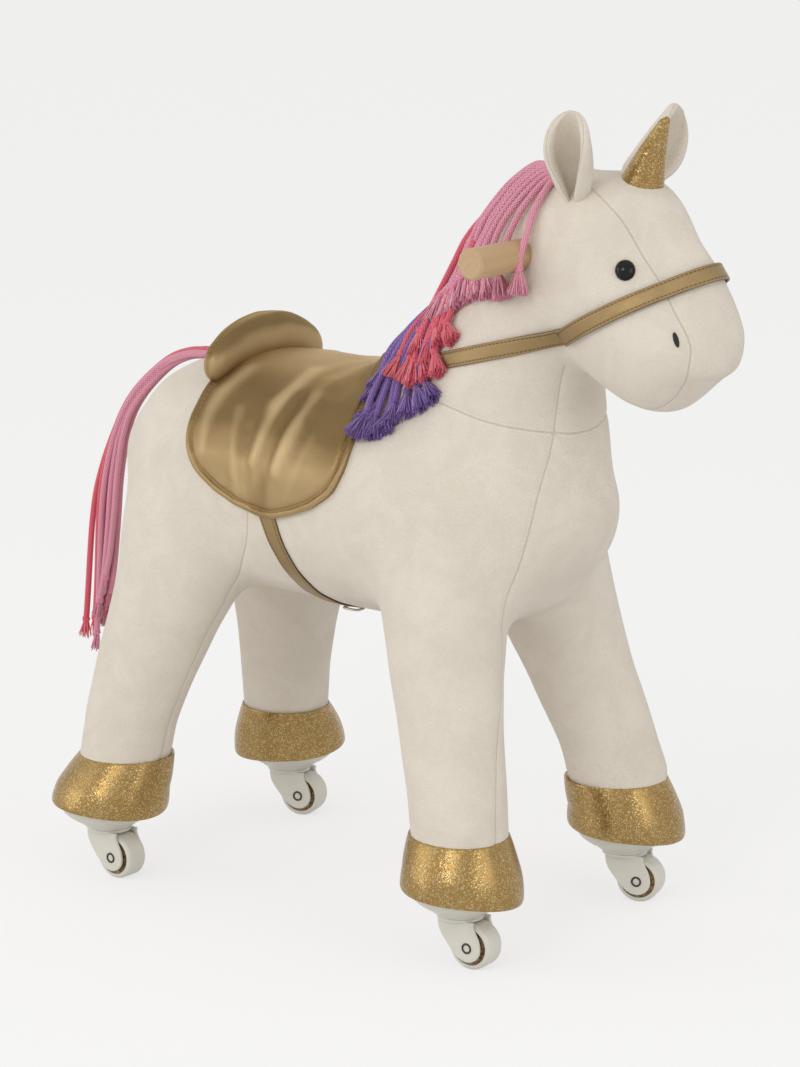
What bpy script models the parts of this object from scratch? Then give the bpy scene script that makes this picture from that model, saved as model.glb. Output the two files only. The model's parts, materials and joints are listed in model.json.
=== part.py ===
"""A plush ride-on unicorn on four swivel casters, with a saddle, a bridle and a wooden handle.

+X is forward, +Y is the animal's left and +Z is up. The wheels stand on z = 0. Lengths that place
things along X are measured from the middle of the wheelbase, which the empty named stance carries.
"""

import math

import bmesh
import bpy
import numpy as np
from mathutils import Matrix, Vector
from mathutils.bvhtree import BVHTree

MM = 0.001

# Stance: where the swivels stand, and the shift that centres the whole animal on the origin
WHEELBASE = 380 * MM
FRONT_TRACK = 220 * MM
REAR_TRACK = 234 * MM
STANCE_X = -54 * MM

# Clearances
SEAT_GAP = 0.3 * MM
FRAME_GAP = 0.6 * MM
STRAP_TOLERANCE = 0.2 * MM
OVERRUN = 4 * MM

# Torso: one long stuffed barrel, blunt at the rump and rounder at the chest
TORSO_LENGTH = 505 * MM
TORSO_HEIGHT = 197 * MM
TORSO_WIDTH = 212 * MM
TORSO_REAR_X = -262 * MM
TORSO_BELLY_Z = 248.5 * MM
TORSO_RUMP_CAP = 95 * MM
TORSO_CHEST_CAP = 95 * MM

# Neck: leans forward from the withers to the poll
NECK_BASE_X = 112 * MM
NECK_BASE_Z = 345.5 * MM
NECK_RISE = 285 * MM
NECK_LEAN = 92 * MM
NECK_DEPTH = 250 * MM
NECK_WIDTH = 160 * MM
NECK_CAP = 50 * MM
NECK_CREST_SHARE = 0.45

# Head: one big egg, from the poll down to the muzzle
HEAD_BACK_X = 188 * MM
HEAD_BACK_Z = 603.5 * MM
HEAD_LENGTH = 214 * MM
HEAD_DIP = 34 * math.pi / 180
HEAD_HEIGHT = 160 * MM
HEAD_WIDTH = 132 * MM
HEAD_BACK_CAP = 70 * MM
MUZZLE_CAP = 54 * MM

# Legs: each tapers from the shoulder or the haunch down to its hoof
LEG_BOTTOM_Z = 91.5 * MM
LEG_TOP_Z = 367.5 * MM
LEG_CAP = 60 * MM
LEG_FOOT_CAP = 10 * MM
FRONT_LEG_WIDTH = 79 * MM
REAR_LEG_WIDTH = 77 * MM
FRONT_LEG_LEAN = 60 * MM
REAR_LEG_LEAN = 50 * MM
FRONT_LEG_SPLAY = 52 * MM
REAR_LEG_SPLAY = 58 * MM

# Hooves and the plastic dishes under them
HOOF_TOP_Z = 105 * MM
HOOF_BOTTOM_Z = 62 * MM
HOOF_TOP_WIDTH = 82 * MM
HOOF_BOTTOM_WIDTH = 98 * MM
HOOF_TOE = 2 * MM
HOOF_TOE_DROP = 5 * MM
DISH_TOP_WIDTH = 82 * MM
DISH_BOTTOM_WIDTH = 40 * MM
DISH_BOTTOM_Z = 42.5 * MM
SPIGOT_LENGTH = 22 * MM

# Casters
WHEEL_DIAMETER = 38 * MM
WHEEL_WIDTH = 21 * MM
WHEEL_TREAD_ROUND = 3.6 * MM
WHEEL_RECESS_DEPTH = 3 * MM
WHEEL_RIM_WIDTH = 4 * MM
WHEEL_HUB_DIAMETER = 15 * MM
CASTER_TRAIL = 14.6 * MM
AXLE_DIAMETER = 9 * MM
AXLE_BORE = 5.8 * MM
FORK_CROWN_DIAMETER = 38 * MM
FORK_CROWN_THICKNESS = 2.6 * MM
FORK_EAR_THICKNESS = 3 * MM
FORK_EAR_RADIUS = 11.6 * MM
FORK_ROOT_REAR = 13 * MM
FORK_ROOT_LENGTH = 33 * MM
FORK_SIDE_GAP = 0.6 * MM
STEM_DIAMETER = 8 * MM
STEM_HEAD_DIAMETER = 12 * MM
STEM_HEAD_THICKNESS = 1.8 * MM
STEM_LENGTH = 24 * MM
FRONT_RIGHT_HEADING = 5.8 * math.pi / 180
FRONT_LEFT_HEADING = 18.5 * math.pi / 180
REAR_RIGHT_HEADING = -0.2 * math.pi / 180
REAR_LEFT_HEADING = 15.8 * math.pi / 180

# Steel frame inside the stuffing
TUBE_DIAMETER = 19 * MM
TUBE_WALL = 1.6 * MM
CROSSBAR_Z = 321.5 * MM
NECK_POST_X = 122 * MM

# Handle: a beech dowel through the neck
HANDLE_DIAMETER = 25 * MM
HANDLE_LENGTH = 230 * MM
HANDLE_CHAMFER = 2 * MM
HANDLE_X = 200 * MM
HANDLE_Z = 566.5 * MM
SLEEVE_LENGTH = 34 * MM
SLEEVE_WALL = 2.4 * MM

# Ears
EAR_HEIGHT = 74 * MM
EAR_WIDTH = 46 * MM
EAR_THICKNESS = 6 * MM
EAR_CUP = 15 * MM
EAR_BASE_X = 249 * MM
EAR_BASE_Y = 49 * MM
EAR_BASE_Z = 613.5 * MM
EAR_SPLAY = 24 * math.pi / 180
EAR_LEAN = 9 * math.pi / 180
EAR_TURN = 28 * math.pi / 180

# Horn
HORN_BASE_X = 274 * MM
HORN_BASE_Z = 595.5 * MM
HORN_HEIGHT = 80 * MM
HORN_LEAN = 25 * MM
HORN_BASE_DIAMETER = 42 * MM
HORN_TIP_DIAMETER = 9 * MM

# Eyes and nostrils
EYE_DIAMETER = 16.5 * MM
EYE_BULGE = 4.5 * MM
EYE_X = 303 * MM
EYE_Z = 565.5 * MM
NOSTRIL_LENGTH = 12.5 * MM
NOSTRIL_WIDTH = 5 * MM
NOSTRIL_THICKNESS = 1.2 * MM
NOSTRIL_X = 348 * MM
NOSTRIL_Z = 514.5 * MM
NOSTRIL_TILT = 12 * math.pi / 180

# Saddle
SADDLE_MIDDLE_X = -14 * MM
SADDLE_LENGTH = 181 * MM
SADDLE_DROP = 96 * math.pi / 180
SADDLE_THICKNESS = 11 * MM
SADDLE_EDGE = 4 * MM
CANTLE_X = -112 * MM
CANTLE_REACH = 38 * math.pi / 180
CANTLE_HEIGHT = 40 * MM
CANTLE_THICKNESS = 30 * MM
CANTLE_DRAW_SHARE = 0.22
GIRTH_X = -9 * MM
GIRTH_WIDTH = 10 * MM
GIRTH_THICKNESS = 2 * MM
GIRTH_TOP = 10 * math.pi / 180
BUCKLE_LENGTH = 11 * MM
BUCKLE_WIDTH = 16 * MM
BUCKLE_WIRE = 2.2 * MM

# Bridle
BRIDLE_NOSE_X = 360 * MM
BRIDLE_NOSE_Z = 568 * MM
BRIDLE_JOINT_X = 244 * MM
BRIDLE_JOINT_Z = 507.5 * MM
BRIDLE_CREST_X = 72 * MM
BRIDLE_CREST_Z = 472.5 * MM
BRIDLE_WIDTH = 14 * MM
BRIDLE_THICKNESS = 1.8 * MM
BRIDLE_OVERLAP = 16 * MM

# Mane: three fringes of cords, from the poll to the withers, laid over the right side of the neck
CORD_DIAMETER = 5.6 * MM
TASSEL_LENGTH = 20 * MM
PINK_CREST_FRONT = (198 * MM, 0, 631.5 * MM)
PINK_CREST_REAR = (118 * MM, 0, 545.5 * MM)
PINK_SWAY_FRONT = (226 * MM, -62 * MM, 601.5 * MM)
PINK_SWAY_REAR = (100 * MM, -34 * MM, 531.5 * MM)
PINK_END_FRONT = (216 * MM, -74 * MM, 541.5 * MM)
PINK_END_REAR = (126 * MM, -66 * MM, 497.5 * MM)
CORAL_CREST_FRONT = (114 * MM, 0, 538.5 * MM)
CORAL_CREST_REAR = (95 * MM, 0, 517.5 * MM)
CORAL_SWAY_FRONT = (94 * MM, -38 * MM, 523.5 * MM)
CORAL_SWAY_REAR = (76 * MM, -38 * MM, 495.5 * MM)
CORAL_END_FRONT = (119 * MM, -68 * MM, 489.5 * MM)
CORAL_END_REAR = (100 * MM, -74 * MM, 457.5 * MM)
PURPLE_CREST_FRONT = (91 * MM, 0, 512.5 * MM)
PURPLE_CREST_REAR = (66 * MM, 0, 485.5 * MM)
PURPLE_SWAY_FRONT = (71 * MM, -42 * MM, 487.5 * MM)
PURPLE_SWAY_REAR = (50 * MM, -48 * MM, 459.5 * MM)
PURPLE_END_FRONT = (93 * MM, -78 * MM, 448.5 * MM)
PURPLE_END_REAR = (48 * MM, -96 * MM, 407.5 * MM)
PINK_CORD_COUNT = 6
CORAL_CORD_COUNT = 4
PURPLE_CORD_COUNT = 4

# Tail: cords from the top of the rump, arching out behind it and hanging free
TAIL_ROOT_X = -172 * MM
TAIL_ROOT_Z = 438.5 * MM
TAIL_TIP_X = -302 * MM
TAIL_TIP_Z = 163.5 * MM
TAIL_MIDDLE_Y = -9 * MM
TAIL_CORD_COUNT = 4
TAIL_PITCH = 5.8 * MM


def clear_scene():
    for old in list(bpy.data.objects):
        bpy.data.objects.remove(old)


def finish_material(name, colour, roughness, metallic=0.0):
    material = bpy.data.materials.new(name)
    material.use_nodes = True
    shader = material.node_tree.nodes["Principled BSDF"]
    shader.inputs["Base Color"].default_value = (*colour, 1)
    shader.inputs["Roughness"].default_value = roughness
    shader.inputs["Metallic"].default_value = metallic
    material.diffuse_color = (*colour, 1)
    return material


def mesh_object(name, points, faces, material, parent):
    mesh = bpy.data.meshes.new(name)
    mesh.from_pydata([tuple(point) for point in points], [], faces)
    shape = bmesh.new()
    shape.from_mesh(mesh)
    bmesh.ops.recalc_face_normals(shape, faces=shape.faces)
    if shape.calc_volume(signed=True) < 0:
        bmesh.ops.reverse_faces(shape, faces=shape.faces)
    # Bent quads are split here, so that a piece and its clearance copy are split alike
    bmesh.ops.triangulate(shape, faces=shape.faces, quad_method="FIXED")
    shape.to_mesh(mesh)
    shape.free()
    mesh.shade_smooth()
    mesh.set_sharp_from_angle(angle=math.radians(40))
    if material:
        mesh.materials.append(material)
    made = bpy.data.objects.new(name, mesh)
    made.parent = parent
    bpy.context.collection.objects.link(made)
    return made


def as_cutter(cutter):
    cutter.hide_render = True
    cutter.display_type = "WIRE"
    return cutter


def swollen(source, amount):
    """A hidden copy of a piece, grown outwards by a clearance, to cut its neighbours with."""
    grown = bpy.data.objects.new(source.name + "_room", source.data)
    grown.parent = source.parent
    grown.matrix_local = source.matrix_local
    bpy.context.collection.objects.link(grown)
    swell = grown.modifiers.new("clearance", "DISPLACE")
    swell.strength = amount
    swell.mid_level = 0
    return as_cutter(grown)


def cut(target, *cutters):
    for cutter in cutters:
        change = target.modifiers.new("cut_" + cutter.name, "BOOLEAN")
        change.operation = "DIFFERENCE"
        change.solver = "EXACT"
        change.object = cutter


def join(target, *additions):
    for addition in additions:
        change = target.modifiers.new("join_" + addition.name, "BOOLEAN")
        change.operation = "UNION"
        change.solver = "EXACT"
        change.object = as_cutter(addition)


def skin_rings(rings, closed_ends=True):
    """Quads between rings of equal count. A ring of one point closes its end as a fan."""
    points = []
    starts = []
    for ring in rings:
        starts.append(len(points))
        points.extend(ring)
    faces = []
    for here, there, first, second in zip(rings, rings[1:], starts, starts[1:]):
        count = max(len(here), len(there))
        for index in range(count):
            after = (index + 1) % count
            if len(here) == 1:
                faces.append((first, second + index, second + after))
            elif len(there) == 1:
                faces.append((first + index, second, first + after))
            else:
                faces.append((first + index, second + index, second + after, first + after))
    if closed_ends:
        for ring, start in ((rings[0], starts[0]), (rings[-1], starts[-1])):
            if len(ring) > 1:
                faces.append(tuple(start + index for index in range(len(ring))))
    return points, faces


def smooth_row(rows, place):
    """Catmull-Rom value of a table of rows at a place counted in rows."""
    last = len(rows) - 1
    index = min(max(int(math.floor(place)), 0), last - 1)
    part = place - index
    before = rows[max(index - 1, 0)]
    start = rows[index]
    end = rows[index + 1]
    after = rows[min(index + 2, last)]
    return (
        start
        + 0.5 * part * (end - before)
        + part**2 * (before - 2.5 * start + 2 * end - 0.5 * after)
        + 0.5 * part**3 * (after - before + 3 * (start - end))
    )


class StuffedForm:
    """A stuffed shape: oval sections strung on a smooth line, drawn in to a point at both ends.

    Each row holds the section's centre, its half size to the side and its half size the other way.
    The narrowing is the share of its width that a section loses at its top.
    """

    SAMPLES = 200

    def __init__(self, rows, side_way, first_cap, last_cap, squareness=2.0, narrowing=0.0):
        self.rows = [np.array(row, float) for row in rows]
        self.side_way = np.array(side_way, float)
        self.caps = (first_cap, last_cap)
        self.squareness = squareness
        self.narrowing = narrowing
        places = np.linspace(0, len(rows) - 1, self.SAMPLES)
        line = np.array([smooth_row(self.rows, place)[:3] for place in places])
        steps = np.linalg.norm(np.diff(line, axis=0), axis=1)
        self.places = places
        self.travel = np.concatenate([[0], np.cumsum(steps)])
        self.length = self.travel[-1]

    def section(self, distance):
        place = np.interp(distance, self.travel, self.places)
        row = smooth_row(self.rows, place)
        step = 0.02
        ahead = smooth_row(self.rows, min(place + step, len(self.rows) - 1))[:3]
        behind = smooth_row(self.rows, max(place - step, 0))[:3]
        along = (ahead - behind) / np.linalg.norm(ahead - behind)
        side = self.side_way - along * (self.side_way @ along)
        side /= np.linalg.norm(side)
        other = np.cross(along, side)
        draw_in = 1.0
        for cap, from_end in zip(self.caps, (distance, self.length - distance)):
            if from_end < cap:
                draw_in *= math.sqrt(max(1 - (1 - from_end / cap) ** 2, 0))
        return row[:3], side * row[3] * draw_in, other * row[4] * draw_in

    def point(self, distance, angle):
        centre, side, other = self.section(distance)
        power = 2 / self.squareness
        across = math.copysign(abs(math.cos(angle)) ** power, math.cos(angle))
        up = math.copysign(abs(math.sin(angle)) ** power, math.sin(angle))
        across *= 1 - self.narrowing * (1 + up) / 2
        return centre + side * across + other * up

    def distances(self, cap_rings, body_rings):
        first_cap, last_cap = self.caps
        turns = [0.5 * math.pi * index / cap_rings for index in range(cap_rings)]
        first = [first_cap * (1 - math.cos(turn)) for turn in turns]
        body = np.linspace(first_cap, self.length - last_cap, body_rings)
        last = [self.length - last_cap * (1 - math.cos(turn)) for turn in reversed(turns)]
        return [*first, *body, *last]

    def rings(self, sides, cap_rings, body_rings):
        angles = [2 * math.pi * index / sides for index in range(sides)]
        rings = []
        for distance in self.distances(cap_rings, body_rings):
            if distance in (0, self.length):
                rings.append([self.section(distance)[0]])
            else:
                rings.append([self.point(distance, angle) for angle in angles])
        return rings

    def build(self, name, material, parent, sides, cap_rings, body_rings):
        points, faces = skin_rings(self.rings(sides, cap_rings, body_rings))
        return mesh_object(name, points, faces, material, parent)


def torso_form():
    # Along the barrel, its underside, its back and its half width, as shares of its three sizes
    station_shares = (
        (0.00, 0.40, 0.78, 0.40),
        (0.12, 0.14, 0.94, 0.46),
        (0.30, 0.02, 1.00, 0.49),
        (0.50, 0.00, 0.99, 0.50),
        (0.70, 0.00, 0.98, 0.50),
        (0.86, 0.06, 0.96, 0.455),
        (1.00, 0.28, 0.84, 0.38),
    )
    rows = []
    for along, under, back, half_width in station_shares:
        middle = TORSO_BELLY_Z + TORSO_HEIGHT * (under + back) / 2
        half_height = TORSO_HEIGHT * (back - under) / 2
        place = TORSO_REAR_X + TORSO_LENGTH * along
        rows.append((place, 0, middle, TORSO_WIDTH * half_width, half_height))
    return StuffedForm(rows, (0, 1, 0), TORSO_RUMP_CAP, TORSO_CHEST_CAP, squareness=2.15)


def neck_form():
    # Up the neck, the forward lean reached, the half width and the half depth, as shares
    station_shares = (
        (0.00, 0.00, 0.50, 0.46),
        (0.22, 0.12, 0.58, 0.46),
        (0.42, 0.40, 0.56, 0.325),
        (0.57, 0.62, 0.50, 0.255),
        (0.72, 0.82, 0.46, 0.225),
        (0.86, 1.04, 0.42, 0.20),
        (1.00, 1.32, 0.36, 0.17),
    )
    rows = []
    for up, lean, half_width, half_depth in station_shares:
        place = (NECK_BASE_X + NECK_LEAN * lean, 0, NECK_BASE_Z + NECK_RISE * up)
        rows.append((*place, NECK_WIDTH * half_width, NECK_DEPTH * half_depth))
    return StuffedForm(rows, (0, 1, 0), NECK_CAP, NECK_CAP, narrowing=NECK_CREST_SHARE)


def head_form():
    # Along the head, the sag of its middle line, its half width and half height, as shares
    station_shares = (
        (0.00, 0.01, 0.42, 0.38),
        (0.25, 0.00, 0.49, 0.46),
        (0.48, -0.01, 0.50, 0.50),
        (0.70, -0.03, 0.44, 0.47),
        (0.88, -0.03, 0.38, 0.40),
        (1.00, -0.01, 0.35, 0.34),
    )
    forward = (math.cos(HEAD_DIP), -math.sin(HEAD_DIP))
    upward = (math.sin(HEAD_DIP), math.cos(HEAD_DIP))
    rows = []
    for along, sag, half_width, half_height in station_shares:
        place_x = HEAD_BACK_X + HEAD_LENGTH * along * forward[0] + HEAD_HEIGHT * sag * upward[0]
        place_z = HEAD_BACK_Z + HEAD_LENGTH * along * forward[1] + HEAD_HEIGHT * sag * upward[1]
        rows.append((place_x, 0, place_z, HEAD_WIDTH * half_width, HEAD_HEIGHT * half_height))
    return StuffedForm(rows, (0, 1, 0), HEAD_BACK_CAP, MUZZLE_CAP)


def leg_form(front, hand):
    """hand is -1 for the animal's right and +1 for its left."""
    # Up the leg, how far it has leaned and splayed back, its half depth and half width, as shares
    front_shares = (
        (0.00, -0.04, 0.00, 0.50, 0.50),
        (0.20, 0.23, 0.21, 0.52, 0.50),
        (0.45, 0.59, 0.52, 0.59, 0.55),
        (0.70, 0.88, 0.84, 0.72, 0.62),
        (0.88, 1.03, 1.05, 0.84, 0.61),
        (1.00, 1.10, 1.22, 0.86, 0.56),
    )
    rear_shares = (
        (0.00, 0.06, 0.12, 0.48, 0.49),
        (0.20, 0.26, 0.32, 0.54, 0.50),
        (0.45, 0.52, 0.56, 0.70, 0.57),
        (0.70, 0.82, 0.80, 0.96, 0.64),
        (0.88, 1.00, 0.97, 1.04, 0.66),
        (1.00, 1.08, 1.10, 1.06, 0.62),
    )
    reach = WHEELBASE / 2
    half_track = FRONT_TRACK / 2
    width = FRONT_LEG_WIDTH
    lean = -FRONT_LEG_LEAN
    splay = FRONT_LEG_SPLAY
    if not front:
        reach = -reach
        half_track = REAR_TRACK / 2
        width = REAR_LEG_WIDTH
        lean = REAR_LEG_LEAN
        splay = REAR_LEG_SPLAY
    rows = []
    for up, leaned, splayed, half_depth, half_width in front_shares if front else rear_shares:
        place_x = reach + lean * leaned
        place_y = hand * (half_track - splay * splayed)
        place_z = LEG_BOTTOM_Z + (LEG_TOP_Z - LEG_BOTTOM_Z) * up
        rows.append((place_x, place_y, place_z, width * half_width, width * half_depth))
    return StuffedForm(rows, (0, 1, 0), LEG_FOOT_CAP, LEG_CAP)


def pipe_rings(line, radius, sides):
    """Rings of a round tube along a line, turned as little as possible from one to the next."""
    line = [Vector(point) for point in line]
    ways = []
    for index in range(len(line)):
        ahead = line[min(index + 1, len(line) - 1)]
        behind = line[max(index - 1, 0)]
        ways.append((ahead - behind).normalized())
    side = ways[0].orthogonal().normalized()
    rings = []
    for point, way in zip(line, ways):
        side = (side - way * side.dot(way)).normalized()
        other = way.cross(side)
        ring = []
        for index in range(sides):
            angle = 2 * math.pi * index / sides
            ring.append(point + radius * (side * math.cos(angle) + other * math.sin(angle)))
        rings.append(ring)
    return rings


def tube_object(name, line, outer, inner, material, parent, sides=10):
    """A hollow tube, open at both ends."""
    outside = pipe_rings(line, outer, sides)
    inside = pipe_rings(line, inner, sides)
    loop = [*outside, *reversed(inside), outside[0]]
    points, faces = skin_rings(loop[:-1], closed_ends=False)
    last = len(points) - sides
    for index in range(sides):
        after = (index + 1) % sides
        faces.append((last + index, index, after, last + after))
    return mesh_object(name, points, faces, material, parent)


def rod_object(name, line, radius, material, parent, sides=10):
    points, faces = skin_rings(pipe_rings(line, radius, sides))
    return mesh_object(name, points, faces, material, parent)


def turned_object(name, profile, material, parent, sides):
    """A solid turned about its own Z from (radius, height) pairs. A radius of 0 ends on the axis."""
    rings = []
    for radius, height in profile:
        if radius == 0:
            rings.append([(0, 0, height)])
            continue
        ring = []
        for index in range(sides):
            angle = 2 * math.pi * index / sides
            ring.append((radius * math.cos(angle), radius * math.sin(angle), height))
        rings.append(ring)
    through = profile[0] == profile[-1]
    if through:
        points, faces = skin_rings(rings[:-1], closed_ends=False)
        last = len(points) - sides
        for index in range(sides):
            after = (index + 1) % sides
            faces.append((last + index, index, after, last + after))
    else:
        points, faces = skin_rings(rings)
    return mesh_object(name, points, faces, material, parent)


def round_corner(centre, radius, start, end, steps):
    """Points of an arc in a (radius, height) profile, angles in degrees."""
    points = []
    for index in range(steps + 1):
        angle = math.radians(start + (end - start) * index / steps)
        points.append((centre[0] + radius * math.cos(angle), centre[1] + radius * math.sin(angle)))
    return points


def surface_of(*pieces):
    """One search tree over the uncut surfaces of several pieces."""
    points = []
    faces = []
    for piece in pieces:
        start = len(points)
        points.extend(vertex.co.copy() for vertex in piece.data.vertices)
        for face in piece.data.polygons:
            faces.append([start + index for index in face.vertices])
    return BVHTree.FromPolygons(points, faces)


def outer_hit(tree, middle, way, reach):
    """The outermost point of a surface on the ray from a middle point, and its normal."""
    start = Vector(middle) + Vector(way) * reach
    place, normal, _, _ = tree.ray_cast(start, -Vector(way), reach)
    if place is None:
        return Vector(middle), Vector(way)
    return place, normal


def side_hit(tree, place_x, place_z, hand, reach):
    start = Vector((place_x, hand * reach, place_z))
    place, normal, _, _ = tree.ray_cast(start, Vector((0, -hand, 0)), reach)
    return place, normal


def ear(name, hand, head, material, parent):
    """A cupped leaf of plush, pinched together at its root. It opens forwards and outwards."""
    # Up the ear: half width, cup depth and thickness, as shares
    leaf_shares = (
        (-0.10, 0.20, 0.60, 0.90),
        (0.05, 0.30, 0.90, 1.00),
        (0.22, 0.43, 1.00, 1.00),
        (0.42, 0.50, 0.90, 1.00),
        (0.62, 0.48, 0.72, 1.00),
        (0.80, 0.38, 0.50, 1.00),
        (0.93, 0.22, 0.26, 0.90),
        (1.00, 0.08, 0.10, 0.60),
    )
    across_shares = (-1.0, -0.8, -0.45, 0.0, 0.45, 0.8, 1.0)
    rings = []
    for up, half_width, cup, thickness in leaf_shares:
        front = []
        back = []
        for across in across_shares:
            bend = EAR_CUP * cup * (1 - across**2)
            wall = EAR_THICKNESS * thickness * math.sqrt(max(1 - across**4, 0.06))
            spread = EAR_WIDTH * half_width * across
            front.append((spread, bend - wall / 2, EAR_HEIGHT * up))
            back.append((spread, bend + wall / 2, EAR_HEIGHT * up))
        rings.append([*front, *reversed(back)])
    points, faces = skin_rings(rings)
    made = mesh_object(name, points, faces, material, parent)
    turn = Matrix.Rotation(math.pi / 2 + hand * EAR_TURN, 4, "Z")
    tilt = Matrix.Rotation(-hand * EAR_SPLAY, 4, "X") @ Matrix.Rotation(EAR_LEAN, 4, "Y")
    made.data.transform(tilt @ turn)
    made.location = (EAR_BASE_X, hand * EAR_BASE_Y, EAR_BASE_Z)
    cut(made, head)
    return made


def horn(head, material, parent):
    lean_shares = (0.0, 0.22, 0.55, 1.0)
    rows = []
    for index, lean in enumerate(lean_shares):
        up = index / (len(lean_shares) - 1)
        radius = (HORN_BASE_DIAMETER * (1 - up) + HORN_TIP_DIAMETER * up) / 2
        place = (HORN_BASE_X + HORN_LEAN * lean, 0, HORN_BASE_Z + HORN_HEIGHT * up)
        rows.append((*place, radius, radius))
    form = StuffedForm(rows, (0, 1, 0), OVERRUN, HORN_TIP_DIAMETER / 3)
    made = form.build("horn", material, parent, sides=16, cap_rings=2, body_rings=5)
    cut(made, head)
    return made


def seated_dome(name, tree, spot, hand, outline, bulge, spin, head, material, parent):
    """A low oval dome on the side of the head. outline is its (length, width)."""
    place, normal = side_hit(tree, spot[0], spot[1], hand, HEAD_WIDTH)
    if not place:
        place, normal = Vector((spot[0], hand * HEAD_WIDTH / 2, spot[1])), Vector((0, hand, 0))
    ring_shares = ((1.0, -0.5), (1.0, 0.1), (0.9, 0.5), (0.6, 0.85))
    sides = 16
    rings = []
    for share, height in ring_shares:
        ring = []
        for index in range(sides):
            angle = 2 * math.pi * index / sides
            along = outline[0] / 2 * share * math.cos(angle)
            across = outline[1] / 2 * share * math.sin(angle)
            ring.append((along, across, bulge * height))
        rings.append(ring)
    rings.append([(0, 0, bulge)])
    points, faces = skin_rings(rings)
    made = mesh_object(name, points, faces, material, parent)
    upward = (Vector((0, 0, 1)) - normal * normal.z).normalized()
    across_way = normal.cross(upward)
    turn = Matrix((upward, across_way, normal)).transposed().to_4x4()
    made.matrix_local = Matrix.Translation(place) @ turn @ Matrix.Rotation(spin, 4, "Z")
    cut(made, head)
    return made


def torso_axis_z(place_x, form):
    distance = min(max(place_x - TORSO_REAR_X, 0), form.length)
    return form.section(distance)[0][2]


def torso_ray(tree, form, place_x, angle, reach=TORSO_WIDTH):
    """A point of the barrel's skin at an angle from straight up, towards the animal's right."""
    middle = (place_x, 0, torso_axis_z(place_x, form))
    return outer_hit(tree, middle, (0, -math.sin(angle), math.cos(angle)), reach)


def saddle(torso, torso_tree, form, material, parent):
    """A padded saddle: a seat over the back and a rounded flap down each side, in one skin."""
    # Down from the back's middle: where the rear and the front edges lie, as shares of the length
    edge_shares = (
        (0.00, -0.57, 0.19),
        (0.20, -0.56, 0.28),
        (0.38, -0.53, 0.43),
        (0.54, -0.50, 0.49),
        (0.66, -0.50, 0.49),
        (0.78, -0.43, 0.37),
        (0.88, -0.35, 0.24),
        (0.95, -0.27, 0.10),
        (1.00, -0.14, -0.04),
    )
    along_shares = (0.0, 0.04, 0.14, 0.38, 0.62, 0.86, 0.96, 1.0)
    table = [np.array(row) for row in edge_shares]
    rows_down = 10
    angles = [SADDLE_DROP * index / rows_down for index in range(-rows_down, rows_down + 1)]
    upper = []
    lower = []
    for angle in angles:
        down = abs(angle) / SADDLE_DROP
        place = np.interp(down, [row[0] for row in edge_shares], range(len(table)))
        _, rear, front = smooth_row(table, place)
        upper_row = []
        lower_row = []
        for along in along_shares:
            place_x = SADDLE_MIDDLE_X + SADDLE_LENGTH * (rear + (front - rear) * along)
            spot, normal = torso_ray(torso_tree, form, place_x, angle)
            to_side = 1 - abs(2 * along - 1) ** 6
            to_hem = 1 - down**10
            puff = SADDLE_EDGE + (SADDLE_THICKNESS - SADDLE_EDGE) * math.sqrt(to_side * to_hem)
            upper_row.append(spot + normal * puff)
            lower_row.append(spot - normal * SEAT_GAP)
        upper.append(upper_row)
        lower.append(lower_row)
    rings = [[*top, *reversed(bottom)] for top, bottom in zip(upper, lower)]
    points, faces = skin_rings(rings)
    made = mesh_object("saddle", points, faces, material, parent)
    cut(made, torso)
    return made


def cantle(torso, torso_tree, form, saddle_room, material, parent):
    """The stuffed crescent that stands up behind the rider."""
    stations = 9
    rows = []
    for index in range(stations):
        share = 2 * index / (stations - 1) - 1
        angle = -CANTLE_REACH * share
        spot, normal = torso_ray(torso_tree, form, CANTLE_X, angle)
        fullness = 1 - CANTLE_DRAW_SHARE * share**2
        lift = CANTLE_HEIGHT / 2 * fullness - OVERRUN
        centre = spot + normal * lift
        rows.append((*centre, CANTLE_THICKNESS / 2 * fullness, CANTLE_HEIGHT / 2 * fullness))
    cap = CANTLE_THICKNESS / 2
    form = StuffedForm(rows, (1, 0, 0), cap, cap)
    made = form.build("cantle_roll", material, parent, sides=12, cap_rings=2, body_rings=9)
    cut(made, torso, saddle_room)
    return made


def band_object(name, line, normals, width, thickness, sink, material, parent, lifts=None):
    """A flat strap along a line on a surface: normals point out of the surface under it."""
    rings = []
    count = len(line)
    for index in range(count):
        ahead = line[min(index + 1, count - 1)]
        behind = line[max(index - 1, 0)]
        way = (ahead - behind).normalized()
        normal = normals[index]
        across = way.cross(normal).normalized()
        lift = lifts[index] if lifts else 0
        low = line[index] + normal * (lift - sink)
        high = line[index] + normal * (lift + thickness)
        half = across * width / 2
        rings.append([low - half, low + half, high + half, high - half])
    points, faces = skin_rings(rings)
    return mesh_object(name, points, faces, material, parent)


def corners_of(line, tolerance):
    """The places in a line of points that it needs to stay within a tolerance of its shape."""
    kept = [0, len(line) - 1]
    waiting = [(0, len(line) - 1)]
    while waiting:
        first, last = waiting.pop()
        way = line[last] - line[first]
        furthest = first
        distance = tolerance
        for index in range(first + 1, last):
            offset = line[index] - line[first]
            if way.length > 0:
                offset = offset - offset.project(way)
            if offset.length > distance:
                furthest = index
                distance = offset.length
        if furthest > first:
            kept.append(furthest)
            waiting.extend([(first, furthest), (furthest, last)])
    return sorted(kept)


def spaced(line, kept, least):
    """The kept places, without those that stand closer to the one before than the least spacing."""
    ordered = sorted(kept)
    chosen = [ordered[0]]
    for index in ordered[1:]:
        if (line[index] - line[chosen[-1]]).length >= least:
            chosen.append(index)
    chosen[-1] = ordered[-1]
    return chosen


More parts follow.
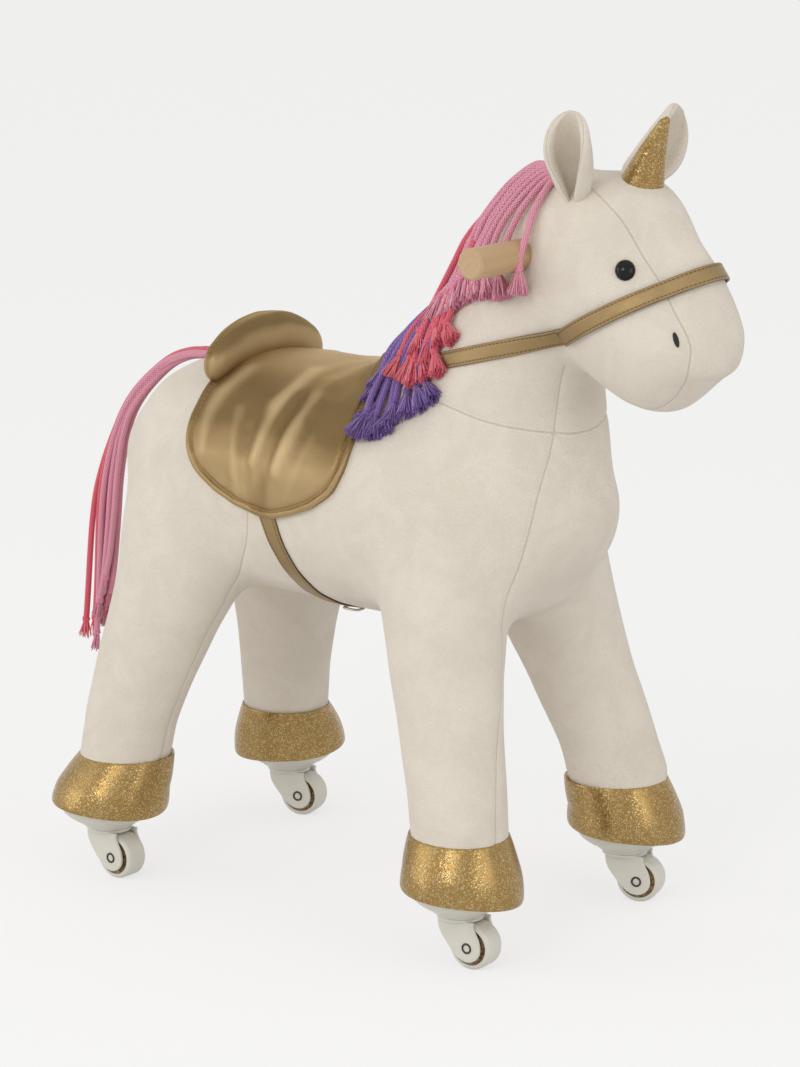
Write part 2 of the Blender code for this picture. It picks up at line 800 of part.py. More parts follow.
def girth(torso, torso_tree, form, saddle_room, material, parent):
    """The strap under the belly, from one saddle flap to the other."""
    steps = 200
    first = SADDLE_DROP - GIRTH_TOP
    line = []
    normals = []
    for index in range(steps + 1):
        angle = first + (2 * math.pi - 2 * first) * index / steps
        spot, normal = torso_ray(torso_tree, form, GIRTH_X, angle)
        line.append(spot)
        normals.append(normal)
    kept = spaced(line, corners_of(line, STRAP_TOLERANCE), GIRTH_THICKNESS)
    made = band_object(
        "girth_strap",
        [line[index] for index in kept],
        [normals[index] for index in kept],
        GIRTH_WIDTH,
        GIRTH_THICKNESS,
        SEAT_GAP,
        material,
        parent,
    )
    cut(made, torso, saddle_room)
    return made


def buckle(torso_tree, form, material, parent):
    """A bent wire loop round the girth strap, under the belly."""
    spot, normal = torso_ray(torso_tree, form, GIRTH_X, math.pi)
    depth = GIRTH_THICKNESS + BUCKLE_WIRE / 2 + SEAT_GAP
    centre = spot + normal * depth
    corner = BUCKLE_WIRE * 1.2
    corners = (
        (BUCKLE_WIDTH / 2, BUCKLE_LENGTH / 2),
        (-BUCKLE_WIDTH / 2, BUCKLE_LENGTH / 2),
        (-BUCKLE_WIDTH / 2, -BUCKLE_LENGTH / 2),
        (BUCKLE_WIDTH / 2, -BUCKLE_LENGTH / 2),
    )
    rings = []
    steps = 2
    for index, (out_x, out_y) in enumerate(corners):
        inner_x = out_x - math.copysign(corner, out_x)
        inner_y = out_y - math.copysign(corner, out_y)
        for step in range(steps + 1):
            angle = math.pi / 2 * (index + step / steps)
            way = Vector((math.cos(angle), math.sin(angle), 0))
            middle = centre + Vector((inner_x, inner_y, 0)) + way * corner
            ring = []
            for side in range(5):
                turn = 2 * math.pi * side / 5
                out = way * math.cos(turn) + Vector((0, 0, 1)) * math.sin(turn)
                ring.append(middle + out * BUCKLE_WIRE / 2)
            rings.append(ring)
    points, faces = skin_rings([*rings, rings[0]], closed_ends=False)
    count = len(rings[0])
    total = len(rings) * count
    faces = [tuple(index % total for index in face) for face in faces]
    return mesh_object("girth_buckle", points[:total], faces, material, parent)


def slanting_line(tree, front, rear, limit, forward_half):
    """A taut line over one end of a slanting plane through the head and neck, up to a limit in x."""
    forward = (front - rear).normalized()
    middle = (front + rear) / 2
    hits = []
    rays = 600
    for index in range(rays):
        angle = 2 * math.pi * index / rays
        way = forward * math.cos(angle) + Vector((0, math.sin(angle), 0))
        spot, _ = outer_hit(tree, middle, way, HEAD_LENGTH + NECK_DEPTH)
        beyond = spot.x - limit if forward_half else limit - spot.x
        if beyond > -OVERRUN:
            hits.append(((spot - middle).dot(forward), spot.y))
    taut = convex_outline(hits)
    steps = 300
    line = []
    for index in range(steps):
        along, across = point_round(taut, (index + 0.5) / steps)
        line.append(middle + forward * along + Vector((0, across, 0)))
    if forward_half:
        line = [*line[steps // 2 :], *line[: steps // 2]]
        return [spot for spot in line if spot.x > limit]
    return [spot for spot in line if spot.x < limit]


def strap_normals(tree, line):
    """Which way is out of the skin at each point of a strap's line, smoothed along it."""
    last = len(line) - 1
    normals = []
    for index, spot in enumerate(line):
        way = (line[min(index + 1, last)] - line[max(index - 1, 0)]).normalized()
        skin_normal = tree.find_nearest(spot)[1]
        normals.append((skin_normal - way * skin_normal.dot(way)).normalized())
    for _ in range(2):
        for index in range(1, last):
            total = normals[index - 1] + normals[index] * 2 + normals[index + 1]
            normals[index] = total.normalized()
    return normals


def convex_outline(points):
    """The taut outline round a set of flat points, from the foremost one, turning left."""
    ordered = sorted(points)

    def half(sequence):
        chain = []
        for point in sequence:
            while len(chain) > 1 and turn_of(chain[-2], chain[-1], point) <= 0:
                chain.pop()
            chain.append(point)
        return chain[:-1]

    outline = half(ordered) + half(reversed(ordered))
    first = max(range(len(outline)), key=lambda index: outline[index][0])
    return outline[first:] + outline[:first]


def turn_of(first, second, third):
    return (second[0] - first[0]) * (third[1] - first[1]) - (second[1] - first[1]) * (
        third[0] - first[0]
    )


def point_round(outline, share):
    """The point at a share of the way round a closed outline."""
    closed = np.array([*outline, outline[0]])
    steps = np.linalg.norm(np.diff(closed, axis=0), axis=1)
    travel = np.concatenate([[0], np.cumsum(steps)])
    place = travel[-1] * share
    return np.interp(place, travel, closed[:, 0]), np.interp(place, travel, closed[:, 1])


def bridle(tree, head, neck, torso, material, parent):
    """The noseband over the face, and the rein that laps over its ends and goes round the neck.

    It gives back the room that each strap needs, to cut the mane with.
    """
    nose = Vector((BRIDLE_NOSE_X, 0, BRIDLE_NOSE_Z))
    joint = Vector((BRIDLE_JOINT_X, 0, BRIDLE_JOINT_Z))
    crest = Vector((BRIDLE_CREST_X, 0, BRIDLE_CREST_Z))
    raised = BRIDLE_THICKNESS + SEAT_GAP * 2
    rooms = []
    for name, front, rear, forward in (
        ("bridle_noseband", nose, joint * 2 - nose, True),
        ("bridle_rein", joint * 2 - crest, crest, False),
    ):
        limit = BRIDLE_JOINT_X if forward else BRIDLE_JOINT_X + BRIDLE_OVERLAP
        fine = slanting_line(tree, front, rear, limit, forward)
        kept = set(corners_of(fine, STRAP_TOLERANCE))
        if not forward:
            for share in (0.4, 0.75, 1.5):
                place_x = BRIDLE_JOINT_X + BRIDLE_OVERLAP * (share - 1)
                for index in range(1, len(fine)):
                    if (fine[index].x > place_x) != (fine[index - 1].x > place_x):
                        kept.add(index)
        line = [fine[index] for index in spaced(fine, kept, 2 * BRIDLE_THICKNESS)]
        lifts = [0] * len(line)
        if not forward:
            # The lap climbs on to the noseband before the noseband's own end
            climbs = [(spot.x - BRIDLE_JOINT_X) / BRIDLE_OVERLAP + 1 for spot in line]
            lifts = [raised * min(max(climb - 0.4, 0) / 0.3, 1) for climb in climbs]
        normals = strap_normals(tree, line)
        strap = band_object(
            name, line, normals, BRIDLE_WIDTH, BRIDLE_THICKNESS, SEAT_GAP, material, parent, lifts
        )
        cut(strap, head, neck, torso)
        width = BRIDLE_WIDTH + 2 * FRAME_GAP
        depth = BRIDLE_THICKNESS + FRAME_GAP
        room = band_object(
            name + "_room", line, normals, width, depth, OVERRUN, None, parent, lifts
        )
        rooms.append(as_cutter(room))
    return rooms


def hoof(name, place, form, material, parent):
    """A flared stuffed hoof, its top set to the leg. Its toe reaches a little forward and down."""
    flare_shares = ((0.0, 0.5), (0.06, 0.8), (0.2, 1.0), (0.5, 0.72), (1.0, 0.0))
    leg_end = form.section(LEG_FOOT_CAP)[0]
    rings = [[(place[0], place[1], HOOF_BOTTOM_Z)]]
    sides = 16
    for up, flare in flare_shares:
        radius = (HOOF_TOP_WIDTH + (HOOF_BOTTOM_WIDTH - HOOF_TOP_WIDTH) * flare) / 2
        middle_x = place[0] + (leg_end[0] - place[0]) * up + HOOF_TOE * flare
        middle_y = place[1] + (leg_end[1] - place[1]) * up
        ring = []
        for index in range(sides):
            angle = 2 * math.pi * index / sides
            drop = HOOF_TOE_DROP * math.cos(angle) * min(up / 0.2, 1) * (1 - up)
            height = HOOF_BOTTOM_Z + (HOOF_TOP_Z - HOOF_BOTTOM_Z) * up - drop
            ring.append(
                (middle_x + radius * math.cos(angle), middle_y + radius * math.sin(angle), height)
            )
        rings.append(ring)
    rings.append([(leg_end[0], leg_end[1], HOOF_TOP_Z)])
    points, faces = skin_rings(rings)
    return mesh_object(name, points, faces, material, parent)


def dish(name, place, material, parent):
    """The plastic base under a hoof: a shallow bowl, with a spigot up into the steel tube."""
    top = HOOF_BOTTOM_Z - SEAT_GAP
    spigot = TUBE_DIAMETER / 2 - TUBE_WALL - FRAME_GAP
    bore = STEM_DIAMETER / 2 + SEAT_GAP
    # From the bottom's edge to the rim: how far out and how far up
    bowl_shares = ((0.0, 0.0), (0.30, 0.27), (0.78, 0.62), (1.0, 1.0))
    profile = [(bore, DISH_BOTTOM_Z)]
    for outward, up in bowl_shares:
        radius = (DISH_BOTTOM_WIDTH + (DISH_TOP_WIDTH - DISH_BOTTOM_WIDTH) * outward) / 2
        profile.append((radius, DISH_BOTTOM_Z + (top - DISH_BOTTOM_Z) * up))
    profile.append((spigot, top))
    profile.append((spigot, top + SPIGOT_LENGTH))
    profile.append((bore, top + SPIGOT_LENGTH))
    profile.append((bore, DISH_BOTTOM_Z))
    made = turned_object(name, profile, material, parent, 18)
    made.location = (place[0], place[1], 0)
    return made


def fork_outline():
    """The ear's side view: a broad root under the crown, slanting to a round end at the axle."""
    crown_under = DISH_BOTTOM_Z - SEAT_GAP - FORK_CROWN_THICKNESS / 2
    axle_height = WHEEL_DIAMETER / 2
    rear = -FORK_ROOT_REAR
    front = rear + FORK_ROOT_LENGTH
    heel_shares = ((0.02, 0.30), (0.12, 0.64), (0.25, 0.91))
    arch_shares = ((-0.02, 0.22), (0.09, 0.50))
    drop = crown_under - axle_height
    outline = [(rear, crown_under)]
    for along, down in heel_shares:
        outline.append((rear + FORK_ROOT_LENGTH * along, crown_under - drop * down))
    steps = 4
    for index in range(steps + 1):
        angle = math.radians(225 + (370 - 225) * index / steps)
        along = CASTER_TRAIL + FORK_EAR_RADIUS * math.cos(angle)
        outline.append((along, axle_height + FORK_EAR_RADIUS * math.sin(angle)))
    for along, down in reversed(arch_shares):
        outline.append((front + FORK_ROOT_LENGTH * along, crown_under - drop * down))
    outline.append((front, crown_under))
    return outline


def fork(name, material, parent):
    """The twin fork under the dish: a round crown and two slanting ears."""
    top = DISH_BOTTOM_Z - SEAT_GAP
    bore = STEM_DIAMETER / 2 + SEAT_GAP
    crown_profile = [
        (bore, top),
        (FORK_CROWN_DIAMETER / 2, top),
        (FORK_CROWN_DIAMETER / 2, top - FORK_CROWN_THICKNESS),
        (bore, top - FORK_CROWN_THICKNESS),
        (bore, top),
    ]
    made = turned_object(name, crown_profile, material, parent, 18)
    inner = WHEEL_WIDTH / 2 + FORK_SIDE_GAP
    outline = fork_outline()
    for hand in (-1, 1):
        near = hand * inner
        far = hand * (inner + FORK_EAR_THICKNESS)
        rings = [[(along, across, up) for along, up in outline] for across in (near, far)]
        points, faces = skin_rings(rings)
        join(made, mesh_object(f"{name}_ear_{hand}", points, faces, None, parent))
    bore_line = [(CASTER_TRAIL, side * FORK_CROWN_DIAMETER, WHEEL_DIAMETER / 2) for side in (-1, 1)]
    bore_room = rod_object(name + "_bore", bore_line, AXLE_DIAMETER / 2 + SEAT_GAP, None, parent, 12)
    cut(made, as_cutter(bore_room))
    return made


def wheel_profile():
    """Half of the wheel's section, outer side first, as (radius, distance across)."""
    half = WHEEL_WIDTH / 2
    radius = WHEEL_DIAMETER / 2
    bore = AXLE_DIAMETER / 2 + SEAT_GAP
    rim = radius - WHEEL_RIM_WIDTH
    hub = WHEEL_HUB_DIAMETER / 2
    floor = half - WHEEL_RECESS_DEPTH
    tread = round_corner(
        (radius - WHEEL_TREAD_ROUND, half - WHEEL_TREAD_ROUND), WHEEL_TREAD_ROUND, 90, 0, 2
    )
    return [(bore, half), (hub, half), (hub, floor), (rim, floor), (rim, half), *tread]


def wheel(name, material, parent):
    upper = wheel_profile()
    lower = [(radius, -across) for radius, across in reversed(upper)]
    sides = 18
    made = turned_object(name, [*upper, *lower, upper[0]], material, parent, sides)
    # Half a facet round, so that a corner of the tread meets the floor
    spin = Matrix.Rotation(math.pi / sides, 4, "Z")
    made.data.transform(Matrix.Rotation(math.pi / 2, 4, "X") @ spin)
    made.location = (CASTER_TRAIL, 0, WHEEL_DIAMETER / 2)
    return made


def axle(name, material, parent):
    """A hollow rivet through both ears and the wheel."""
    half = WHEEL_WIDTH / 2 + FORK_SIDE_GAP + FORK_EAR_THICKNESS
    line = [(CASTER_TRAIL, side * half, WHEEL_DIAMETER / 2) for side in (-1, 1)]
    return tube_object(name, line, AXLE_DIAMETER / 2, AXLE_BORE / 2, material, parent, 12)


def stem(name, material, parent):
    """The swivel pin: its head is under the crown and its shank turns in the dish."""
    under = DISH_BOTTOM_Z - 2 * SEAT_GAP - FORK_CROWN_THICKNESS
    profile = [
        (0, under - STEM_HEAD_THICKNESS),
        (STEM_HEAD_DIAMETER / 2, under - STEM_HEAD_THICKNESS),
        (STEM_HEAD_DIAMETER / 2, under),
        (STEM_DIAMETER / 2, under),
        (STEM_DIAMETER / 2, under + STEM_LENGTH),
        (0, under + STEM_LENGTH),
    ]
    return turned_object(name, profile, material, parent, 12)


def leg_tube_line(place, form):
    """From the dish straight up over its spigot, then along the middle of the leg to its crossbar."""
    line = [
        Vector((*place, HOOF_BOTTOM_Z + SEAT_GAP)),
        Vector((*place, HOOF_BOTTOM_Z + SPIGOT_LENGTH + OVERRUN)),
    ]
    top = CROSSBAR_Z + TUBE_DIAMETER / 2
    centres = [form.section(distance)[0] for distance in form.travel]
    for share in (0.35, 0.65, 1.0):
        height = HOOF_TOP_Z + (top - HOOF_TOP_Z) * share
        line.append(Vector(min(centres, key=lambda centre: abs(centre[2] - height))))
    return line


def laid_cord(tree, root, sway, end):
    """A cord's middle line from the crest over the neck to its end, lying on the skin."""
    steps = 8
    height = CORD_DIAMETER / 2
    line = []
    normals = []
    for index in range(steps + 1):
        share = index / steps
        guess = root * (1 - share) ** 2 + sway * 2 * share * (1 - share) + end * share**2
        spot, normal, _, _ = tree.find_nearest(guess)
        line.append(spot + normal * height)
        normals.append(normal)
    for _ in range(2):
        for index in range(1, steps):
            line[index] = (line[index - 1] + line[index] * 2 + line[index + 1]) / 4
            normals[index] = (normals[index - 1] + normals[index] + normals[index + 1]).normalized()
    return line, normals


def laid_fringe(name, tree, count, front, rear, material, parent):
    """A fringe laid over the neck. Its foremost and rearmost cords give the root, sway and end."""
    strands = []
    for index in range(count):
        share = index / (count - 1)
        spots = [Vector(a).lerp(Vector(b), share) for a, b in zip(front, rear)]
        strands.append(laid_cord(tree, *spots))
    return fringe(name, strands, material, parent)


def fringe(name, strands, material, parent):
    """Cords side by side, caught together: ridged outside, nearly flat inside, with fuller ends."""
    radius = CORD_DIAMETER / 2
    ridge = (math.radians(140), math.radians(90), math.radians(40))
    lengths = [(strands[0][0][step] - strands[0][0][-1]).length for step in range(len(strands[0][0]))]
    rings = []
    for step, from_end in enumerate(lengths):
        outer = []
        inner = []
        fullness = 1.3 if from_end < TASSEL_LENGTH else 1
        for index, (line, normals) in enumerate(strands):
            centre = line[step]
            normal = normals[step]
            before = strands[max(index - 1, 0)][0][step]
            after = strands[min(index + 1, len(strands) - 1)][0][step]
            across = after - before
            across = (across - normal * across.dot(normal)).normalized()
            gap = (strands[min(index + 1, len(strands) - 1)][0][step] - centre).length
            gap = gap or (centre - before).length
            reach = min(radius * fullness, gap * 0.62)
            for angle in ridge:
                side = across * reach * math.cos(angle)
                outer.append(centre + side + normal * radius * fullness * math.sin(angle))
            inner.append(centre - normal * radius * 1.25)
        rings.append([*outer, *reversed(inner)])
    points, faces = skin_rings(rings)
    return mesh_object(name, points, faces, material, parent)


def tail_fringe(name, first_y, material, parent):
    """Half of the tail's cords: over the rump, then hanging free. first_y is the lowest cord's."""
    # From the root to the tip: how far back and how far down, as shares of the two reaches
    path_shares = (
        (0.00, 0.00),
        (0.14, 0.00),
        (0.42, 0.05),
        (0.65, 0.155),
        (0.82, 0.29),
        (0.90, 0.47),
        (0.97, 0.73),
        (1.00, 1.00),
    )
    steps = 9
    table = [np.array(row) for row in path_shares]
    strands = []
    for index in range(TAIL_CORD_COUNT):
        place_y = first_y + TAIL_PITCH * index
        inward = 1 - 0.03 * abs(place_y - TAIL_MIDDLE_Y) / TAIL_PITCH
        line = []
        for step in range(steps + 1):
            back, down = smooth_row(table, step * (len(table) - 1) / steps)
            place_x = TAIL_ROOT_X + (TAIL_TIP_X - TAIL_ROOT_X) * back * inward
            place_z = TAIL_ROOT_Z + (TAIL_TIP_Z - TAIL_ROOT_Z) * down
            line.append(Vector((place_x, place_y, place_z)))
        normals = []
        for step in range(steps + 1):
            way = line[min(step + 1, steps)] - line[max(step - 1, 0)]
            normals.append(Vector((0, 1, 0)).cross(way).normalized())
        strands.append((line, normals))
    return fringe(name, strands, material, parent)


def main():
    clear_scene()
    stance = bpy.data.objects.new("stance", None)
    stance.location = (STANCE_X, 0, 0)
    bpy.context.collection.objects.link(stance)

    plush = finish_material("cream_plush", (0.76, 0.70, 0.62), 0.95)
    gold_leather = finish_material("gold_leather", (0.55, 0.40, 0.20), 0.38, 0.75)
    gold_glitter = finish_material("gold_glitter", (0.62, 0.42, 0.14), 0.45, 0.7)
    beech = finish_material("beech", (0.72, 0.52, 0.30), 0.5)
    black = finish_material("black_gloss", (0.01, 0.01, 0.01), 0.1)
    thread = finish_material("black_thread", (0.02, 0.02, 0.02), 0.8)
    plastic = finish_material("cream_plastic", (0.72, 0.70, 0.64), 0.4)
    rivet = finish_material("dark_steel", (0.12, 0.11, 0.10), 0.4, 0.9)
    steel = finish_material("frame_steel", (0.45, 0.46, 0.48), 0.45, 0.9)

    torso_shape = torso_form()
    torso = torso_shape.build("torso", plush, stance, sides=22, cap_rings=4, body_rings=8)
    neck = neck_form().build("neck", plush, stance, sides=18, cap_rings=3, body_rings=8)
    head = head_form().build("head", plush, stance, sides=22, cap_rings=5, body_rings=6)
    torso_room = swollen(torso, SEAT_GAP)
    neck_room = swollen(neck, SEAT_GAP)
    head_room = swollen(head, SEAT_GAP)
    torso_tree = surface_of(torso)
    head_tree = surface_of(head)
    neck_tree = surface_of(neck, head)
    body_tree = surface_of(torso, neck, head)
    cut(neck, torso_room, head_room)

    handle_line = [(HANDLE_X, side * HANDLE_LENGTH / 2, HANDLE_Z) for side in (-1, 1)]
    handle = rod_object("handle", handle_line, HANDLE_DIAMETER / 2, beech, stance, 20)
    handle_edge = handle.modifiers.new("chamfer", "BEVEL")
    handle_edge.width = HANDLE_CHAMFER
    handle_edge.segments = 1
    handle_edge.limit_method = "ANGLE"
    handle_edge.angle_limit = math.radians(60)
    handle_room = as_cutter(
        rod_object(
            "handle_room",
            [(HANDLE_X, side * HANDLE_LENGTH, HANDLE_Z) for side in (-1, 1)],
            HANDLE_DIAMETER / 2 + SEAT_GAP,
            None,
            stance,
            20,
        )
    )
    cut(neck, handle_room)
    cut(head, handle_room)

    corners = (
        ("front_right", True, -1, FRONT_TRACK, FRONT_RIGHT_HEADING),
        ("front_left", True, 1, FRONT_TRACK, FRONT_LEFT_HEADING),
        ("rear_right", False, -1, REAR_TRACK, REAR_RIGHT_HEADING),
        ("rear_left", False, 1, REAR_TRACK, REAR_LEFT_HEADING),
    )
    tube_rooms = []
    crossbar_ends = {}
    for corner, front, hand, track, heading in corners:
        place = ((1 if front else -1) * WHEELBASE / 2, hand * track / 2)
        form = leg_form(front, hand)
        leg = form.build("leg_" + corner, plush, stance, sides=20, cap_rings=3, body_rings=6)
        foot = hoof("hoof_" + corner, place, form, gold_glitter, stance)
        hoof_room = swollen(foot, SEAT_GAP)
        line = leg_tube_line(place, form)
        inner = TUBE_DIAMETER / 2 - TUBE_WALL
        tube_object("tube_" + corner, line, TUBE_DIAMETER / 2, inner, steel, stance)
        room_line = [line[0] - Vector((0, 0, OVERRUN)), *line, line[-1] + Vector((0, 0, OVERRUN))]
        tube_room = as_cutter(
            rod_object(
                "tube_room_" + corner, room_line, TUBE_DIAMETER / 2 + FRAME_GAP, None, stance
            )
        )
        cut(leg, torso_room, hoof_room, tube_room)
        cut(foot, tube_room)
        cut(torso, tube_room)
        tube_rooms.append(tube_room)
        crossbar_ends.setdefault(front, []).append((line[-1], tube_room))
        dish("dish_" + corner, place, plastic, stance)

        swivel = bpy.data.objects.new("swivel_" + corner, None)
        swivel.location = (place[0], place[1], 0)
        swivel.rotation_euler = (0, 0, heading)
        swivel.parent = stance
        bpy.context.collection.objects.link(swivel)
        fork("fork_" + corner, plastic, swivel)
        wheel("wheel_" + corner, plastic, swivel)
        axle("axle_" + corner, rivet, swivel)
        stem("stem_" + corner, rivet, swivel)

    bars = {}
    for front, ends in crossbar_ends.items():
        name = "crossbar_front" if front else "crossbar_rear"
        middle_x = ends[0][0].x
        line = [Vector((middle_x, end.y, CROSSBAR_Z)) for end, _ in ends]
        for spot in line:
            spot.y -= math.copysign(TUBE_DIAMETER / 8, spot.y)
        inner = TUBE_DIAMETER / 2 - TUBE_WALL
        bar = tube_object(name, line, TUBE_DIAMETER / 2, inner, steel, stance)
        bar_room = as_cutter(
            rod_object(name + "_room", line, TUBE_DIAMETER / 2 + FRAME_GAP, None, stance)
        )
        cut(bar, *[tube_room for _, tube_room in ends])
        cut(torso, bar_room)
        bars[front] = (middle_x, bar_room)

    spine_z = CROSSBAR_Z + TUBE_DIAMETER + SEAT_GAP
    spine_line = [Vector((bars[front][0], 0, spine_z)) for front in (False, True)]
    for point, way in zip(spine_line, (-1, 1)):
        point.x += way * TUBE_DIAMETER
    inner = TUBE_DIAMETER / 2 - TUBE_WALL
    spine = tube_object("spine_tube", spine_line, TUBE_DIAMETER / 2, inner, steel, stance)
    spine_room = as_cutter(
        rod_object("spine_room", spine_line, TUBE_DIAMETER / 2 + FRAME_GAP, None, stance)
    )
    cut(spine, bars[False][1], bars[True][1])
    cut(torso, spine_room)

    post_line = [Vector((NECK_POST_X, 0, spine_z)), Vector((HANDLE_X, 0, HANDLE_Z))]
    post = rod_object("neck_post", post_line, TUBE_DIAMETER / 2, steel, stance)
    sleeve_line = [(HANDLE_X, side * SLEEVE_LENGTH / 2, HANDLE_Z) for side in (-1, 1)]
    sleeve_radius = HANDLE_DIAMETER / 2 + SEAT_GAP + SLEEVE_WALL
    sleeve = rod_object("sleeve", sleeve_line, sleeve_radius, None, stance, 20)
    join(post, sleeve)
    cut(post, handle_room, spine_room)
    post_room = as_cutter(
        rod_object("post_room", post_line, TUBE_DIAMETER / 2 + FRAME_GAP, None, stance)
    )
    sleeve_room = as_cutter(
        rod_object("sleeve_room", sleeve_line, sleeve_radius + FRAME_GAP, None, stance, 20)
    )
    for piece in (torso, neck, head):
        cut(piece, post_room)
    for piece in (neck, head):
        cut(piece, sleeve_room)

    for name, hand in (("ear_right", -1), ("ear_left", 1)):
        ear(name, hand, head_room, plush, stance)
    horn(head_room, gold_glitter, stance)
    for side_name, hand in (("right", -1), ("left", 1)):
        seated_dome(
            "eye_" + side_name,
            head_tree,
            (EYE_X, EYE_Z),
            hand,
            (EYE_DIAMETER, EYE_DIAMETER),
            EYE_BULGE,
            0,
            head_room,
            black,
            stance,
        )
        seated_dome(
            "nostril_" + side_name,
            head_tree,
            (NOSTRIL_X, NOSTRIL_Z),
            hand,
            (NOSTRIL_LENGTH, NOSTRIL_WIDTH),
            NOSTRIL_THICKNESS,
            hand * NOSTRIL_TILT,
            head_room,
            thread,
            stance,
        )

    seat = saddle(torso_room, torso_tree, torso_shape, gold_leather, stance)
    cut(seat, neck_room)
    seat_room = swollen(seat, SEAT_GAP)
    cantle(torso_room, torso_tree, torso_shape, seat_room, gold_leather, stance)
    girth(torso_room, torso_tree, torso_shape, seat_room, gold_leather, stance)
    buckle(torso_tree, torso_shape, steel, stance)
    strap_rooms = bridle(neck_tree, head_room, neck_room, torso_room, gold_leather, stance)

    pink = finish_material("pink_cord", (0.86, 0.26, 0.38), 0.8)
    coral = finish_material("coral_cord", (0.86, 0.16, 0.20), 0.8)
    purple = finish_material("purple_cord", (0.38, 0.12, 0.45), 0.8)
    pink_front = (PINK_CREST_FRONT, PINK_SWAY_FRONT, PINK_END_FRONT)
    pink_rear = (PINK_CREST_REAR, PINK_SWAY_REAR, PINK_END_REAR)
    coral_front = (CORAL_CREST_FRONT, CORAL_SWAY_FRONT, CORAL_END_FRONT)
    coral_rear = (CORAL_CREST_REAR, CORAL_SWAY_REAR, CORAL_END_REAR)
    purple_front = (PURPLE_CREST_FRONT, PURPLE_SWAY_FRONT, PURPLE_END_FRONT)
    purple_rear = (PURPLE_CREST_REAR, PURPLE_SWAY_REAR, PURPLE_END_REAR)
    for name, count, front, rear, colour in (
        ("mane_pink", PINK_CORD_COUNT, pink_front, pink_rear, pink),
        ("mane_coral", CORAL_CORD_COUNT, coral_front, coral_rear, coral),
        ("mane_purple", PURPLE_CORD_COUNT, purple_front, purple_rear, purple),
    ):
        laid = laid_fringe(name, body_tree, count, front, rear, colour, stance)
        cut(laid, torso_room, neck_room, head_room, handle_room, *strap_rooms)
        if name == "mane_purple":
            cut(laid, seat_room)
    for name, first_y, colour in (
        ("tail_coral", TAIL_MIDDLE_Y + TAIL_PITCH / 2 - TAIL_PITCH * TAIL_CORD_COUNT, coral),
        ("tail_pink", TAIL_MIDDLE_Y + TAIL_PITCH / 2, pink),
    ):
        cut(tail_fringe(name, first_y, colour, stance), torso_room)


if __name__ == "__main__":
    main()
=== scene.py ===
"""The look of a plush ride-on unicorn: sewn plush, gold leather-look tack, braided cords and casters.

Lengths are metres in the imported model's own frame: +X forward, +Y the animal's left, +Z up.
"""

import json
import math

import bmesh
import bpy
import numpy as np
from mathutils import Matrix, Vector, noise
from mathutils.bvhtree import BVHTree


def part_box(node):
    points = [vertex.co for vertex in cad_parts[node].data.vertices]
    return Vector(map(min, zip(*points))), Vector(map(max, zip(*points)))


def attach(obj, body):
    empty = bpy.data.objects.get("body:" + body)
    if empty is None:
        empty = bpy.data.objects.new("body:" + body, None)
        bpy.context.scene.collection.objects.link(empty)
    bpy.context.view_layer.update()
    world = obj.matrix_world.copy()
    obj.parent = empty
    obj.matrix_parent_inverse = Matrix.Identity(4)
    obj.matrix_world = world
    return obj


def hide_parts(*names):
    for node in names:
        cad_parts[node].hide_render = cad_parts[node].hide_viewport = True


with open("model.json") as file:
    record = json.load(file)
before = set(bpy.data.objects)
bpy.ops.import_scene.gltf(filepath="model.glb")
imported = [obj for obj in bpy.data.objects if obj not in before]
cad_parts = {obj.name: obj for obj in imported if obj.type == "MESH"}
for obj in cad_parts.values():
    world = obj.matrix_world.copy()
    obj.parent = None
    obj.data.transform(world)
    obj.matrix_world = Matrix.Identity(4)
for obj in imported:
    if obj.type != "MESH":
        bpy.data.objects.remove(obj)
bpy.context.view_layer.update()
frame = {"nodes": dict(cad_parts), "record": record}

# The camera stands ahead of the animal, to its right and a little above it. Its long lens was
# fitted to the four wheels, the handle and the ears, with the whole animal in the frame.
camera_spot = Vector((2.0376, -2.4828, 1.0586))
camera_target = Vector((-0.018, 0.0, 0.3105))


def aimed(name, data, spot, target):
    """A camera or a lamp, placed and turned to its target."""
    made = bpy.data.objects.new(name, data)
    made.location = spot
    made.rotation_euler = (Vector(target) - Vector(spot)).to_track_quat("-Z", "Y").to_euler()
    bpy.context.collection.objects.link(made)
    return made


camera_lens = bpy.data.cameras.new("camera")
camera_lens.sensor_fit = "VERTICAL"
camera_lens.sensor_height = 36
camera_lens.lens = 134.96
bpy.context.scene.camera = aimed("camera", camera_lens, camera_spot, camera_target)
bpy.context.scene.view_settings.view_transform = "Standard"

# The studio: a pale floor that fades into a pale backdrop, three big soft lamps and an even sky.
# The floor glows only to the camera, so that its own shadows stay faint.
backdrop_tone = (0.922, 0.922, 0.922)
floor_reach = 30
# Name, place, what it points at, size across and power of each lamp
lamps = (
    ("key", (0.5, -2.7, 2.1), (0, 0, 0.35), 1.1, 17),
    ("left", (-2.3, -2.4, 1.2), (0, 0, 0.35), 2.0, 18),
    ("right", (3.0, -0.3, 1.3), (0, 0, 0.35), 1.6, 12),
)


